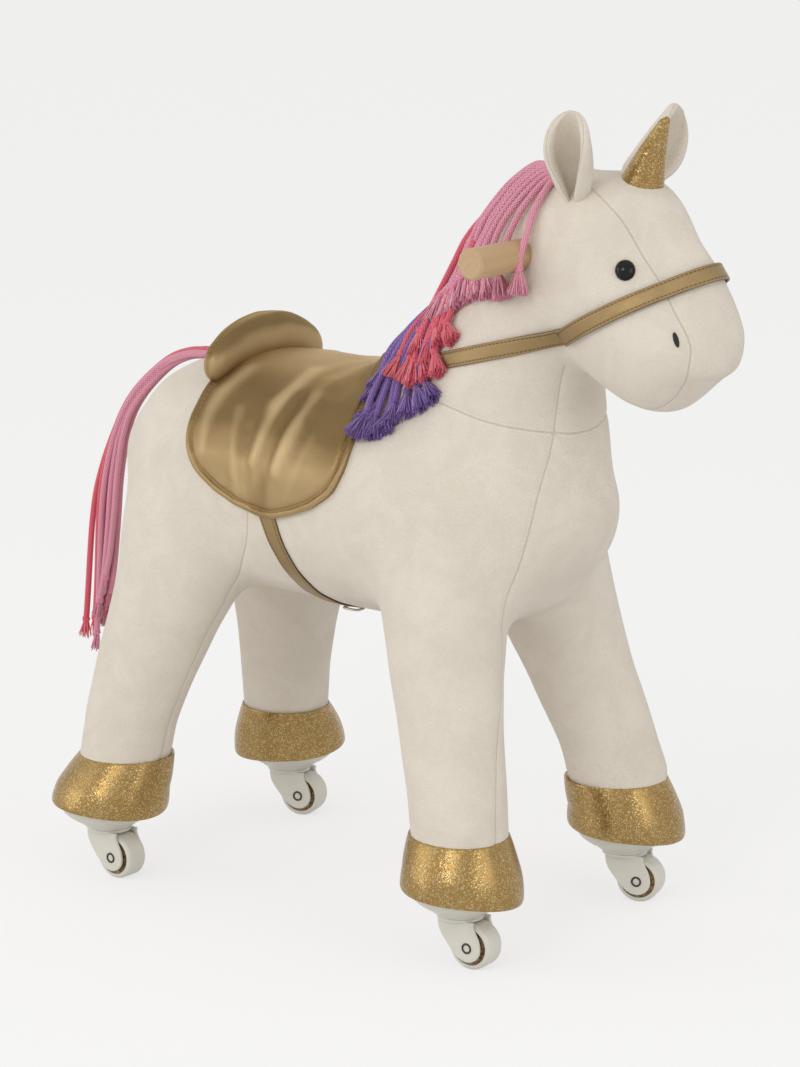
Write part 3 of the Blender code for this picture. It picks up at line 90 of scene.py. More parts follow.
class Shading:
    """A shader tree, with short ways to add the nodes that the finishes are made of."""

    def __init__(self, tree):
        self.tree = tree
        self.nodes = tree.nodes

    def put(self, socket, value):
        """Sets a socket to a number, a colour or a vector, or links another socket to it."""
        if isinstance(value, (int, float)):
            socket.default_value = value
        elif isinstance(value, tuple):
            socket.default_value = (*value, 1)[: len(socket.default_value)]
        else:
            self.tree.links.new(value, socket)

    def add(self, kind, inputs, **settings):
        """The outputs of a new node, with its settings and its inputs."""
        node = self.nodes.new("ShaderNode" + kind)
        for label, setting in settings.items():
            setattr(node, label, setting)
        for label, value in inputs.items():
            self.put(node.inputs[label], value)
        return node.outputs

    def feed(self, **values):
        """Sets or links the tree's last sockets, with underscores for the spaces in their names."""
        for label, value in values.items():
            self.put(self.end[label.replace("_", " ")], value)

    def place(self):
        return self.add("TexCoord", {})["Object"]

    def value(self, label):
        """A number that give_values stored on the piece."""
        return self.add("Attribute", {}, attribute_name=label)["Fac"]

    def use(self, effect, **inputs):
        """The outputs of a shared effect, placed in this tree."""
        inputs = {label.replace("_", " "): value for label, value in inputs.items()}
        return self.add("Group", inputs, node_tree=effect.tree)

    def noise(self, scale, detail=3.0, rough=0.55, place=None, distortion=0.0):
        inputs = {"Vector": place or self.place(), "Scale": scale, "Detail": detail}
        return self.add("TexNoise", {**inputs, "Roughness": rough, "Distortion": distortion})["Fac"]

    def math(self, operation, *values):
        return self.add("Math", dict(enumerate(values)), operation=operation)[0]

    def times(self, value, gain, more=0.0):
        """A value times another, with a third one added."""
        return self.math("MULTIPLY_ADD", value, gain, more)

    def less(self, value, taken):
        return self.math("SUBTRACT", value, taken)

    def inverse(self, value):
        return self.less(1.0, value)

    def ramp(self, value, low, high):
        """0 below low and 1 above high, smoothly between."""
        inputs = {"Value": value, "From Min": low, "From Max": high}
        return self.add("MapRange", inputs, interpolation_type="SMOOTHSTEP")["Result"]

    def mix(self, share, first, second, blend="MIX"):
        """A colour between two."""
        inputs = {"Factor": share, "A": first, "B": second}
        return self.add("Mix", inputs, data_type="RGBA", blend_type=blend)["Result"]

    def over(self, colour, tone, mask, strength):
        """A colour with a tone laid over it where the mask is, at a strength."""
        return self.mix(self.times(mask, strength), colour, tone)

    def bump(self, height, distance, strength):
        inputs = {"Height": height, "Distance": distance, "Strength": strength}
        return self.add("Bump", inputs)["Normal"]

    def seen_straight(self, light, seen):
        """One shader for the light that bounces, and another that the camera and gloss see."""
        rays = self.add("LightPath", {})
        straight = rays["Is Camera Ray"]
        for ray_kind in ("Is Glossy Ray", "Is Transmission Ray"):
            straight = self.math("MAXIMUM", straight, rays[ray_kind])
        return self.add("MixShader", {"Fac": straight, 1: light, 2: seen})[0]


class Finish(Shading):
    """A material round one Principled shader, whose sockets are the last ones."""

    def __init__(self, name, roughness, metallic=0.0, **values):
        self.surface = bpy.data.materials.new(name)
        self.surface.use_nodes = True
        super().__init__(self.surface.node_tree)
        self.end = self.nodes["Principled BSDF"].inputs
        self.feed(Roughness=roughness, Metallic=metallic, **values)


world = bpy.data.worlds.new("studio")
world.use_nodes = True
bpy.context.scene.world = world
sky = Shading(world.node_tree)
sky_light = sky.add("Background", {"Color": (1, 0.985, 0.965), "Strength": 0.72})[0]
sky_seen = sky.add("Background", {"Color": backdrop_tone, "Strength": 1})[0]
sky.put(sky.nodes["World Output"].inputs["Surface"], sky.seen_straight(sky_light, sky_seen))

floor_signs = ((-1, -1), (1, -1), (1, 1), (-1, 1))
floor_corners = [(x * floor_reach, y * floor_reach, 0) for x, y in floor_signs]
floor_mesh = bpy.data.meshes.new("floor")
floor_mesh.from_pydata(floor_corners, [], [(0, 1, 2, 3)])
floor = bpy.data.objects.new("floor", floor_mesh)
bpy.context.collection.objects.link(floor)
paper = Finish("floor", 1, Base_Color=(0.80, 0.80, 0.80), Specular_IOR_Level=0)
paper_light = paper.nodes["Principled BSDF"].outputs["BSDF"]
paper_glow = {"Emission Color": (1, 1, 1), "Emission Strength": 0.65}
paper_grey = {"Base Color": (0.30, 0.30, 0.30), "Roughness": 1, "Specular IOR Level": 0}
paper_seen = paper.add("BsdfPrincipled", {**paper_grey, **paper_glow})[0]
paper_end = paper.nodes["Material Output"].inputs["Surface"]
paper.put(paper_end, paper.seen_straight(paper_light, paper_seen))
floor_mesh.materials.append(paper.surface)

for lamp_name, lamp_spot, lamp_aim, lamp_size, lamp_power in lamps:
    lamp = bpy.data.lights.new(lamp_name, "AREA")
    lamp.size = lamp_size
    lamp.energy = lamp_power
    lamp.color = (1, 0.985, 0.96)
    aimed(lamp_name, lamp, lamp_spot, lamp_aim)

# The plush skin: one sewn cover of short-pile fabric over the torso, neck, head and legs, stuffed
# hard. Its panels meet in seams down the chest, round the neck and over the face and haunches.
corners = ("front_right", "front_left", "rear_right", "rear_left")
stuffed_nodes = ("torso", "neck", "head", *("leg_" + corner for corner in corners))
tube_nodes = tuple("tube_" + corner for corner in corners)
frame_nodes = (*tube_nodes, "crossbar_front", "crossbar_rear", "spine_tube", "neck_post")
skin_voxel = 0.005
skin_blend = 0.024
# Each leg's sole, the lowest band of it, runs on down inside its cuff
sole_band = 0.013
leg_tuck = 0.018
# The cloth sleeve round the handle
sleeve_radius = 0.0142
sleeve_length = 0.086
# How far the back of the thighs and the bridge of the nose are set back: height and depth
rump_setback = (
    (0.150, 0.0), (0.185, 0.003), (0.223, 0.008), (0.265, 0.0125), (0.308, 0.0130), (0.350, 0.0115),
    (0.382, 0.0115), (0.403, 0.0085), (0.430, 0.003), (0.450, 0.0),
)
bridge_setback = (
    (0.500, 0.0), (0.513, 0.002), (0.523, 0.006), (0.534, 0.0105), (0.546, 0.015), (0.558, 0.018),
    (0.570, 0.0205), (0.582, 0.0205), (0.592, 0.0165), (0.602, 0.0115), (0.612, 0.0065),
    (0.622, 0.002), (0.632, 0.0),
)
chin_lift = 0.013
throat_fullness = 0.0065
seam_depth = 0.0011
seam_spread = 0.0032
lump_height = 0.0009
# Along each seam, points that it passes through, in millimetres
seam_lines = (
    ((169, -25, 480), (165, -26, 450), (162, -36, 406), (165, -55, 366), (156, -62, 318),
        (142, -60, 264), (146, -64, 217), (160, -92, 169), (172, -111, 100)),
    ((60, -78, 448), (95, -72, 441), (122, -71, 435), (149, -54, 429), (166, -18, 422),
        (168, 0, 421), (166, 18, 422), (149, 54, 429), (122, 71, 435)),
    ((202, -34, 621), (210, -36, 617), (219, -38, 612), (232, -36, 600), (241, -32, 585),
        (249, -31, 573), (259, -31, 562), (271, -33, 550), (281, -35, 536), (291, -35, 522),
        (297, -34, 509), (295, -33, 493), (285, -26, 475), (270, -21, 461), (252, -18, 453)),
    ((-93, -107, 342), (-101, -100, 310), (-127, -78, 275), (-147, -78, 239), (-169, -86, 195),
        (-187, -94, 149), (-201, -102, 100)),
)


class Effect(Shading):
    """A node group that finishes share, with number inputs; its outputs are the last sockets."""

    def __init__(self, name, inputs, **outputs):
        super().__init__(bpy.data.node_groups.new(name, "ShaderNodeTree"))
        sockets = self.tree.interface
        for label, value in inputs.items():
            made = sockets.new_socket(label, in_out="INPUT", socket_type="NodeSocketFloat")
            made.default_value = value
        for label, kind in outputs.items():
            sockets.new_socket(label, in_out="OUTPUT", socket_type="NodeSocket" + kind)
        self.given = self.nodes.new("NodeGroupInput").outputs
        self.end = self.nodes.new("NodeGroupOutput").inputs


# Short pile: fine fibre tips, and patches where the nap lies another way
pile_inputs = {"Fibre Scale": 900.0, "Nap Scale": 26.0}
pile = Effect("short_pile", pile_inputs, Shade="Float", Height="Float")
pile_dots = pile.ramp(pile.noise(pile.given["Fibre Scale"], 4.0, 0.7), 0.25, 0.72)
pile_soft = pile.ramp(pile.noise(pile.given["Nap Scale"], 5.0, 0.62, distortion=0.8), 0.35, 0.68)
pile_shade = pile.times(pile_dots, 0.45, pile.times(pile_soft, 0.30, 0.2))
pile.feed(Shade=pile_shade, Height=pile.times(pile_soft, 0.35, pile_dots))

# A sewn seam from the signed distance to it: a fold, which the plush also darkens as painted shade,
# with small stitches beside it
seam_inputs = {"Across": 1.0, "Along": 0.0, "Width": 0.0009, "Pitch": 0.004}
seam = Effect("sewn_seam", seam_inputs, Fold="Float", Stitch="Float")
seam_share = seam.math("DIVIDE", seam.math("ABSOLUTE", seam.given["Across"]), seam.given["Width"])
seam.feed(Fold=seam.inverse(seam.ramp(seam_share, 0.2, 1.3)))
seam_turn = seam.math("FRACT", seam.math("DIVIDE", seam.given["Along"], seam.given["Pitch"]))
seam_beside = seam.math("ABSOLUTE", seam.less(seam_share, 1.9))
seam_dash = seam.inverse(seam.ramp(seam_turn, 0.5, 0.62))
seam.feed(Stitch=seam.times(seam_dash, seam.inverse(seam.ramp(seam_beside, 0.25, 0.6))))

plush = Finish("cream_plush", 0.92, Sheen_Weight=0.28, Sheen_Roughness=0.45, Specular_IOR_Level=0.15)
plush_pile = plush.use(pile)
plush_seam = plush.use(seam, Across=plush.value("seam_across"), Along=plush.value("seam_along"))
plush_tone = plush.mix(plush_pile["Shade"], (0.70, 0.625, 0.52), (0.86, 0.80, 0.71))
# Painted shade in the seams' folds, then the stitches' own paler thread
plush_tone = plush.over(plush_tone, (0.44, 0.37, 0.27), plush_seam["Fold"], 0.42)
plush_tone = plush.over(plush_tone, (0.95, 0.92, 0.85), plush_seam["Stitch"], 0.30)
# Painted shade in the ears' hollows
plush_tone = plush.over(plush_tone, (0.46, 0.36, 0.26), plush.value("hollow"), 0.50)
plush_height = plush.times(plush_seam["Fold"], -1.1, plush_pile["Height"])
plush.feed(Base_Color=plush_tone, Normal=plush.bump(plush_height, 0.0006, 0.55))


def solid_of(node_name):
    """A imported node's shape, with the corners that its faces share made one again."""
    solid = bmesh.new()
    solid.from_mesh(frame["nodes"][node_name].data)
    bmesh.ops.remove_doubles(solid, verts=solid.verts, dist=1e-6)
    return solid


def mesh_of(solid):
    mesh = bpy.data.meshes.new("solid")
    solid.to_mesh(mesh)
    return mesh


def add_solid(whole, part):
    holder = mesh_of(part)
    whole.from_mesh(holder)
    bpy.data.meshes.remove(holder)


def after_modifier(mesh, kind, **settings):
    """A new mesh: the given one after one modifier."""
    holder = bpy.data.objects.new("holder", mesh)
    bpy.context.collection.objects.link(holder)
    modifier = holder.modifiers.new("change", kind)
    for label, setting in settings.items():
        setattr(modifier, label, setting)
    bpy.context.view_layer.update()
    changed = holder.evaluated_get(bpy.context.evaluated_depsgraph_get())
    made = bpy.data.meshes.new_from_object(changed)
    bpy.data.objects.remove(holder)
    return made


def largest_shell(mesh):
    """The largest connected part of a mesh, which is the outside of the stuffed forms."""
    shell = bmesh.new()
    shell.from_mesh(mesh)
    islands = []
    left = set(shell.verts)
    while left:
        reached = [left.pop()]
        for corner in reached:
            for edge in corner.link_edges:
                other = edge.other_vert(corner)
                if other in left:
                    left.remove(other)
                    reached.append(other)
        islands.append(reached)
    keep = set(max(islands, key=len))
    bmesh.ops.delete(shell, geom=[v for v in shell.verts if v not in keep], context="VERTS")
    return shell


def relaxed(points, edges, shares, rounds):
    """Moves each point towards the middle of its neighbours, by its own share, several times."""
    count = len(points)
    shares = np.broadcast_to(shares, count)[:, None]
    neighbours = np.bincount(edges.ravel(), minlength=count)[:, None]
    for _ in range(rounds):
        total = np.zeros_like(points)
        for axis in range(3):
            total[:, axis] = np.bincount(edges[:, 0], points[edges[:, 1], axis], count)
            total[:, axis] += np.bincount(edges[:, 1], points[edges[:, 0], axis], count)
        points = points + (total / neighbours - points) * shares
    return points


def eased(values, low, high):
    """0 below low and 1 above high, smoothly between."""
    share = np.clip((values - low) / (high - low), 0, 1)
    return share * share * (3 - 2 * share)


def from_table(table, values):
    places, amounts = zip(*table)
    return np.interp(values, places, amounts)


def give_values(made, label, values, domain="POINT"):
    """Stores one number a point, or a face corner, on a piece, for its material to read."""
    layer = made.data.attributes.new(label, "FLOAT", domain)
    layer.data.foreach_set("value", np.asarray(values, np.float32))


def on_curve(before, start, end, after, t):
    """A spot on the smooth curve from start to end, which their neighbours bend."""
    bend = (2 * before - 5 * start + 4 * end - after) * t**2
    return 0.5 * (2 * start + (end - before) * t + bend + (3 * start - before - 3 * end + after) * t**3)


def smooth_line(spots, step):
    """A curve through the points, as points about a step apart."""
    spots = [np.array(spot, float) for spot in spots]
    spots = [2 * spots[0] - spots[1], *spots, 2 * spots[-1] - spots[-2]]
    line = []
    for before, start, end, after in zip(spots, spots[1:], spots[2:], spots[3:]):
        count = max(2, round(float(np.linalg.norm(end - start)) / step))
        line.extend(on_curve(before, start, end, after, index / count) for index in range(count))
    return np.array([*line, spots[-2]])


def travel_along(line):
    """How far along a line each of its points lies."""
    return np.concatenate([[0], np.cumsum(np.linalg.norm(np.diff(line, axis=0), axis=1))])


def nearest_on_line(points, line):
    """How far each point is from a line, how far along it, and which of its pieces is nearest."""
    ways = np.diff(line, axis=0)
    travel = travel_along(line)
    best = np.full(len(points), np.inf)
    along = np.zeros(len(points))
    which = np.zeros(len(points), int)
    for index, way in enumerate(ways):
        length = np.linalg.norm(way)
        if length < 1e-6:
            continue
        offset = points - line[index]
        share = np.clip(offset @ way / length**2, 0, 1)
        distance = np.linalg.norm(offset - share[:, None] * way, axis=1)
        nearer = distance < best
        best = np.where(nearer, distance, best)
        along = np.where(nearer, travel[index] + share * length, along)
        which = np.where(nearer, index, which)
    return best, along, which


stuffed = bmesh.new()
for node_name in stuffed_nodes:
    solid = solid_of(node_name)
    if node_name.startswith("leg"):
        sole = min(vertex.co.z for vertex in solid.verts)
        for vertex in solid.verts:
            if vertex.co.z < sole + sole_band:
                vertex.co.z -= leg_tuck
    add_solid(stuffed, solid)
for node_name in frame_nodes:
    solid = solid_of(node_name)
    bmesh.ops.delete(solid, geom=[*solid.faces, *solid.edges], context="EDGES_FACES")
    bmesh.ops.convex_hull(solid, input=solid.verts)
    add_solid(stuffed, solid)
handle_low, handle_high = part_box("handle")
sleeve = bmesh.new()
bmesh.ops.create_cone(
    sleeve, cap_ends=True, segments=24, radius1=sleeve_radius, radius2=sleeve_radius,
    depth=sleeve_length,
)
to_handle = Matrix.Translation((handle_low + handle_high) / 2)
sleeve.transform(to_handle @ Matrix.Rotation(math.pi / 2, 4, "X"))
add_solid(stuffed, sleeve)
remeshed = after_modifier(mesh_of(stuffed), "REMESH", mode="VOXEL", voxel_size=skin_voxel)
shell = largest_shell(remeshed)
skin_points = np.array([v.co for v in shell.verts])
shell.verts.index_update()
skin_edges = np.array([[v.index for v in e.verts] for e in shell.edges])

# The forms run into one another most where a point is near to two of them
node_trees = []
for node_name in stuffed_nodes:
    mesh = frame["nodes"][node_name].data
    node_faces = [tuple(p.vertices) for p in mesh.polygons]
    node_trees.append(BVHTree.FromPolygons([v.co for v in mesh.vertices], node_faces))
far_off = np.array([[tree.find_nearest(point)[3] for tree in node_trees] for point in skin_points])
joining = np.clip(1.15 - np.sort(far_off, axis=1)[:, 1] / skin_blend, 0, 1)
skin_points = relaxed(skin_points, skin_edges, 0.5, 4)
skin_points = relaxed(skin_points, skin_edges, joining * 0.6, 36)
skin_points = relaxed(skin_points, skin_edges, 0.5, 3)

# The thighs' backs are drawn flat, and rump, nose, chin and throat follow the sewn pattern
rump_rise = eased(skin_points[:, 2], 0.20, 0.28) * (1 - eased(skin_points[:, 2], 0.40, 0.44))
rump_part = eased(-skin_points[:, 0], 0.20, 0.27) * rump_rise
skin_points = relaxed(skin_points, skin_edges, 0.5 * rump_part, 70)
x, y, z = skin_points.T.copy()
rump = from_table(rump_setback, z) * eased(-x, 0.195, 0.275)
bridge = from_table(bridge_setback, z) * eased(x, 0.165, 0.275) * eased(z, 0.47, 0.50)
chin = chin_lift * eased(x, 0.252, 0.302) * eased(-z, -0.492, -0.457) * (z > 0.42)
throat = throat_fullness * np.exp(-(((z - 0.405) / 0.036) ** 2)) * eased(x, 0.105, 0.165)
narrower = bridge * np.clip(y / 0.034, -1.25, 1.25) + rump * np.clip(y / 0.060, -1, 1)
skin_points = np.stack([x - 0.8 * bridge + throat + 0.8 * rump, y - 0.6 * narrower, z + chin], axis=1)
skin_points = relaxed(skin_points, skin_edges, 0.5, 2)
for vertex, point in zip(shell.verts, skin_points):
    vertex.co = point
skin_mesh = after_modifier(mesh_of(shell), "SUBSURF", levels=1, render_levels=1)
skin_points, skin_normals = np.zeros((2, len(skin_mesh.vertices) * 3))
skin_mesh.vertices.foreach_get("co", skin_points)
skin_mesh.vertices.foreach_get("normal", skin_normals)
skin_points, skin_normals = skin_points.reshape(-1, 3), skin_normals.reshape(-1, 3)
skin_faces = [tuple(p.vertices) for p in skin_mesh.polygons]


def tree_of(points, faces):
    return BVHTree.FromPolygons([tuple(point) for point in points], faces)


skin_tree = tree_of(skin_points, skin_faces)
seam_across = np.full(len(skin_points), 1.0)
seam_along = np.zeros(len(skin_points))
for seam_line in seam_lines:
    line = smooth_line(np.array(seam_line) / 1000, 0.006)
    hits = [skin_tree.find_nearest(Vector(spot))[:2] for spot in line]
    line, normals = np.array(hits).transpose(1, 0, 2)
    away, along, which = nearest_on_line(skin_points, line)
    sides = np.cross(np.diff(line, axis=0), normals[:-1])
    to_left = ((skin_points - line[which]) * sides[which]).sum(axis=1) < 0
    nearer = away < np.abs(seam_across)
    seam_across = np.where(nearer, np.where(to_left, -away, away), seam_across)
    seam_along = np.where(nearer, along, seam_along)
sinking = seam_depth * np.exp(-((seam_across / seam_spread) ** 2))
lumps = np.array([noise.noise(Vector(point) * 22) for point in skin_points]) * lump_height
skin_points = skin_points + skin_normals * (lumps - sinking)[:, None]
skin_mesh.vertices.foreach_set("co", skin_points.ravel())
skin_mesh.shade_smooth()
skin_mesh.materials.clear()
skin_mesh.materials.append(plush.surface)
skin = bpy.data.objects.new("plush_skin", skin_mesh)
bpy.context.collection.objects.link(skin)
give_values(skin, "seam_across", np.clip(seam_across, -0.03, 0.03))
give_values(skin, "seam_along", seam_along)
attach(skin, "animal")
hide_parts(*stuffed_nodes)
skin_tree = tree_of(skin_points, skin_faces)

# The ears: two thin leaves of the same plush, each sewn inside out from two panels and stuffed a
# little. Each is rolled round its own middle line, so that it cups a hollow, and sewn to the head.
ear_height = 0.070
ear_width = 0.048
ear_wall = 0.0066
ear_steps = 22
# Name, side, root, degrees that it leans forwards and out and that its hollow turns out, and how
# tightly it is rolled
ear_poses = (
    ("ear_right", -1, (0.1885, -0.0370, 0.6155), 11, 28, 86, 1.0),
    ("ear_left", 1, (0.1885, 0.0410, 0.6165), 20, 37, 8, 0.68),
)
# Up the ear: half width and wall thickness as shares, with the half turn of its roll between them
ear_shares = (
    (-0.15, 0.18, 2.8, 0.6), (-0.06, 0.38, 2.85, 0.95), (0.06, 0.50, 2.75, 1.1),
    (0.20, 0.60, 2.55, 1.15), (0.40, 0.68, 2.25, 1.1), (0.60, 0.655, 1.95, 1.1),
    (0.79, 0.52, 1.6, 1.05), (0.92, 0.33, 1.15, 0.95), (1.0, 0.10, 0.36, 0.6),
)


def piece(name, points, faces, finish, body="animal"):
    """A new mesh piece that rides on a body."""
    mesh = bpy.data.meshes.new(name)
    mesh.from_pydata([tuple(point) for point in points], [], [tuple(face) for face in faces])
    mesh.shade_smooth()
    mesh.materials.append(finish.surface)
    made = bpy.data.objects.new(name, mesh)
    bpy.context.collection.objects.link(made)
    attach(made, body)
    return made


def ring_faces(rings, loop=False):
    """Faces from each ring of points to the next, back to the first in a loop, or else with caps."""
    count = len(rings[0])
    faces = []
    for row in range(len(rings) if loop else len(rings) - 1):
        start, following = row * count, (row + 1) % len(rings) * count
        for index in range(count):
            after = (index + 1) % count
            faces.append((start + index, start + after, following + after, following + index))
    if not loop:
        faces.append(tuple(reversed(range(count))))
        faces.append(tuple(range((len(rings) - 1) * count, len(rings) * count)))
    return faces


def ringed(name, rings, finish, body="animal", loop=False):
    """A piece from rings of points."""
    points = [point for ring in rings for point in ring]
    return piece(name, points, ring_faces(rings, loop), finish, body)


def around(count):
    """Evenly spaced angles, once round."""
    return [2 * math.pi * side / count for side in range(count)]


def table_row(rows, place):
    """A row of a table of numbers, smoothly filled in between the given ones."""
    rows = np.array(rows, float)
    rows = np.vstack([2 * rows[0] - rows[1], rows, 2 * rows[-1] - rows[-2]])
    first = min(int(place), len(rows) - 4)
    return on_curve(*rows[first : first + 4], place - first)


def smooth_table(rows, count):
    return [table_row(rows, place) for place in np.linspace(0, len(rows) - 1, count)]


for ear_name, hand, ear_root, ear_lean, ear_splay, ear_turn, ear_roll in ear_poses:
    rings = []
    hollow_shading = []
    for row, (up, half_width, half_roll, thickness) in enumerate(smooth_table(ear_shares, 34)):
        front = []
        back = []
        for index in range(ear_steps + 1):
            angle = math.pi * (index / ear_steps - 0.5)
            across = math.sin(angle)
            rim = 1 + 0.5 * math.exp(-(((abs(across) - 0.84) / 0.14) ** 2)) * min(1, max(0, up * 6))
            wall = ear_wall * thickness * math.sqrt(max(math.cos(angle), 0.0)) * rim
            roll = ear_width * max(half_width, 0.02) / (half_roll * ear_roll)
            bend = half_roll * ear_roll * across
            set_back = min(roll, 0.013) - roll
            for face, reach in ((front, max(0.0008, roll - wall / 2)), (back, roll + wall / 2)):
                forward = reach * math.cos(bend) + set_back
                face.append((reach * math.sin(bend), forward, ear_height * up))
            # How much painted shade each point gets: most down the middle of the hollow, less towards
            # the tip
            hollow_shading.append(max(0.0, math.cos(angle)) * (1 - 0.55 * row / 34))
        rings.append([*front, *reversed(back[1:-1])])
        hollow_shading.extend([0.0] * (ear_steps - 1))
    place = Matrix.Translation(ear_root)
    for degrees, axis in ((-hand * ear_splay, "X"), (ear_lean, "Y"), (90 + hand * ear_turn, "Z")):
        place = place @ Matrix.Rotation(math.radians(degrees), 4, axis)
    rings = [[place @ Vector(point) for point in ring] for ring in rings]
    leaf = ringed("leaf_" + ear_name, rings, plush)
    count = len(rings[0])
    edge_place = [min(index, abs(index - ear_steps), count - index) * 0.0025 for index in range(count)]
    give_values(leaf, "seam_across", edge_place * len(rings))
    give_values(leaf, "seam_along", np.repeat(np.arange(len(rings)) * 0.0023, count))
    give_values(leaf, "hollow", hollow_shading)
    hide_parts(ear_name)

# The horn: a stuffed cone of gold glitter cloth with a blunt tip, sewn to the forehead and a
# little bent. The four hooves are stuffed cuffs of the same cloth, drawn in round the ankles.
horn_base = Vector((0.2160, 0.0, 0.5985))
horn_height = 0.0790
horn_lean = 0.0310
horn_base_width = 0.0475
horn_tip_width = 0.0066
horn_swell = 0.0012
# Where the tip starts to round off and over what length, as shares of the height
horn_round = 0.965
horn_round_length = 0.0352
# Up the cuff, its radius and height, from the underside's inner edge over the rim to the ankle
cuff_profile = (
    (0.0402, 0.0), (0.0432, 0.0), (0.0480, 0.0), (0.0492, 0.0008), (0.0496, 0.0032),
    (0.0494, 0.0080), (0.0487, 0.0140), (0.0474, 0.0210), (0.0455, 0.0280), (0.0432, 0.0350),
    (0.0409, 0.0410), (0.0396, 0.0440), (0.0388, 0.0448), (0.0376, 0.0442),
)
# Where each cuff stands, its rim's height, and how the rim tilts towards the front and the left
cuff_places = (
    ("front_right", 0.136, -0.110, 0.0590, -0.0038, -0.0042),
    ("front_left", 0.136, 0.110, 0.0612, -0.0046, -0.0029),
    ("rear_right", -0.244, -0.117, 0.0625, -0.0043, -0.0015),
    ("rear_left", -0.244, 0.117, 0.0612, 0.0020, 0.0037),
)
cuff_top = 0.1055
cuff_sides = 72
cuff_ease = 0.0012
dish_top = 0.0622

# Glitter cloth: small flakes, each of which catches the light at its own angle
flake_inputs = {"Flake Scale": 1300.0, "Tilt": 0.22}
flake = Effect("glitter_flakes", flake_inputs, Tint="Color", Spark="Float", Normal="Vector")
flake_cells = {"Vector": flake.place(), "Scale": flake.given["Flake Scale"]}
flakes = flake.add("TexVoronoi", flake_cells)["Color"]
flake_lean = flake.add("VectorMath", {0: flakes, 1: (0.5, 0.5, 0.5)}, operation="SUBTRACT")[0]
flake_tilt = {0: flake_lean, "Scale": flake.given["Tilt"]}
flake_lean = flake.add("VectorMath", flake_tilt, operation="SCALE")[0]
flake_flat = flake.add("NewGeometry", {})["Normal"]
flake_way = flake.add("VectorMath", {0: flake_flat, 1: flake_lean}, operation="ADD")[0]
flake_green = flake.add("SeparateColor", {"Color": flakes})["Green"]
flake.feed(Tint=flakes, Spark=flake.ramp(flake_green, 0.72, 0.95))
flake.feed(Normal=flake.add("VectorMath", {0: flake_way}, operation="NORMALIZE")[0])

glitter = Finish("gold_glitter", 0.27, 0.75)
glitter_flakes = glitter.use(flake)
glitter_tone = glitter.mix(glitter.noise(40.0), (0.27, 0.165, 0.045), (0.38, 0.245, 0.080))
glitter_tone = glitter.mix(0.15, glitter_tone, glitter_flakes["Tint"], "OVERLAY")
# Painted glints: a share of the flakes painted paler, as if they caught the light
glitter_tone = glitter.over(glitter_tone, (1.0, 0.88, 0.60), glitter_flakes["Spark"], 0.30)
glitter.feed(Base_Color=glitter_tone, Normal=glitter_flakes["Normal"])

rings = []
for up in np.arange(41) / 40:
    lean = horn_lean * (0.62 * up + 0.38 * up**2)
    width = horn_base_width * (1 - up) + horn_tip_width * up
    radius = width / 2 + horn_swell * math.sin(math.pi * up)
    if up > horn_round:
        radius *= math.sqrt(max(0.0, 1 - ((up - horn_round) / horn_round_length) ** 2))
    ring = []
    for angle in around(40):
        pucker = noise.noise(Vector((math.cos(angle) * 1.5, math.sin(angle) * 1.5, up * 9)))
        reach = radius * (1 + 0.012 * pucker)
        offset = Vector((lean + reach * math.cos(angle), reach * math.sin(angle), horn_height * up))
        ring.append(horn_base + offset)
    rings.append(ring)
horn = ringed("horn_cone", rings, glitter)
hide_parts("horn")

for corner, place_x, place_y, rim_height, front_tilt, left_tilt in cuff_places:
    low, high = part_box("hoof_" + corner)
    packed = frame["nodes"]["hoof_" + corner].data.vertices
    upper = np.array([v.co for v in packed if v.co.z > high.z - 0.006])
    top_x, top_y = (upper[:, :2].min(0) + upper[:, :2].max(0)) / 2
    ankle = []
    for angle in around(cuff_sides):
        way = Vector((math.cos(angle), math.sin(angle), 0))
        reaches = []
        for rise in (0.0, 0.005, 0.010):
            middle = Vector((top_x, top_y, cuff_top + rise))
            reaches.append((skin_tree.ray_cast(middle + way * 0.07, -way, 0.07)[0] - middle).length)
        ankle.append(max(reaches))
    rings = []
    for row, (radius, height) in enumerate(smooth_table(cuff_profile, 36)):
        up = height / cuff_profile[-1][1]
        ring = []
        for angle, ankle_reach in zip(around(cuff_sides), ankle):
            rim = rim_height + front_tilt * math.cos(angle) + left_tilt * math.sin(angle)
            rim += 0.0006 * math.sin(3 * angle + place_x * 30)
            bottom = dish_top + (rim - dish_top) * min(1, row / 5)
            swirl_x = math.cos(angle) * 2.2 + place_x * 40
            swirl_y = math.sin(angle) * 2.2 + place_y * 40
            crease = noise.noise(Vector((swirl_x, swirl_y, up * 1.5)))
            crease *= math.sin(math.pi * min(1, max(0, up)))
            reach = radius * (1 + 0.016 * crease)
            reach += (ankle_reach + cuff_ease - 0.0396) * max(0, up - 0.4) / 0.6
            x = place_x + (top_x - place_x) * max(0, up) + 0.001 * (1 - up) + reach * math.cos(angle)
            y = place_y + (top_y - place_y) * max(0, up) + reach * math.sin(angle)
            ring.append((x, y, bottom + (cuff_top - bottom) * up))
        rings.append(ring)
    cuff = ringed("cuff_" + corner, rings, glitter)
    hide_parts("hoof_" + corner)

# The eyes: domes of glossy black plastic with a washer behind the plush. The nostrils are short
# bars of satin stitch in black thread.
eye_radius = 0.0080
eye_height = 0.0056
eye_rows = 15
nostril_length = 0.0120
nostril_half = 0.0021


def mottled(
    name, roughness, metallic, scale, dark, light, detail=3.0, change=None, bump=None, **values
):
    """A finish whose tone follows a noise, and so do its roughness and height where they're given."""
    finish = Finish(name, roughness, metallic, **values)
    field = finish.noise(scale, detail)
    finish.feed(Base_Color=finish.mix(field, dark, light))
    if change:
        finish.feed(Roughness=finish.times(field, *change))
    if bump:
        finish.feed(Normal=finish.bump(field, *bump))
    return finish


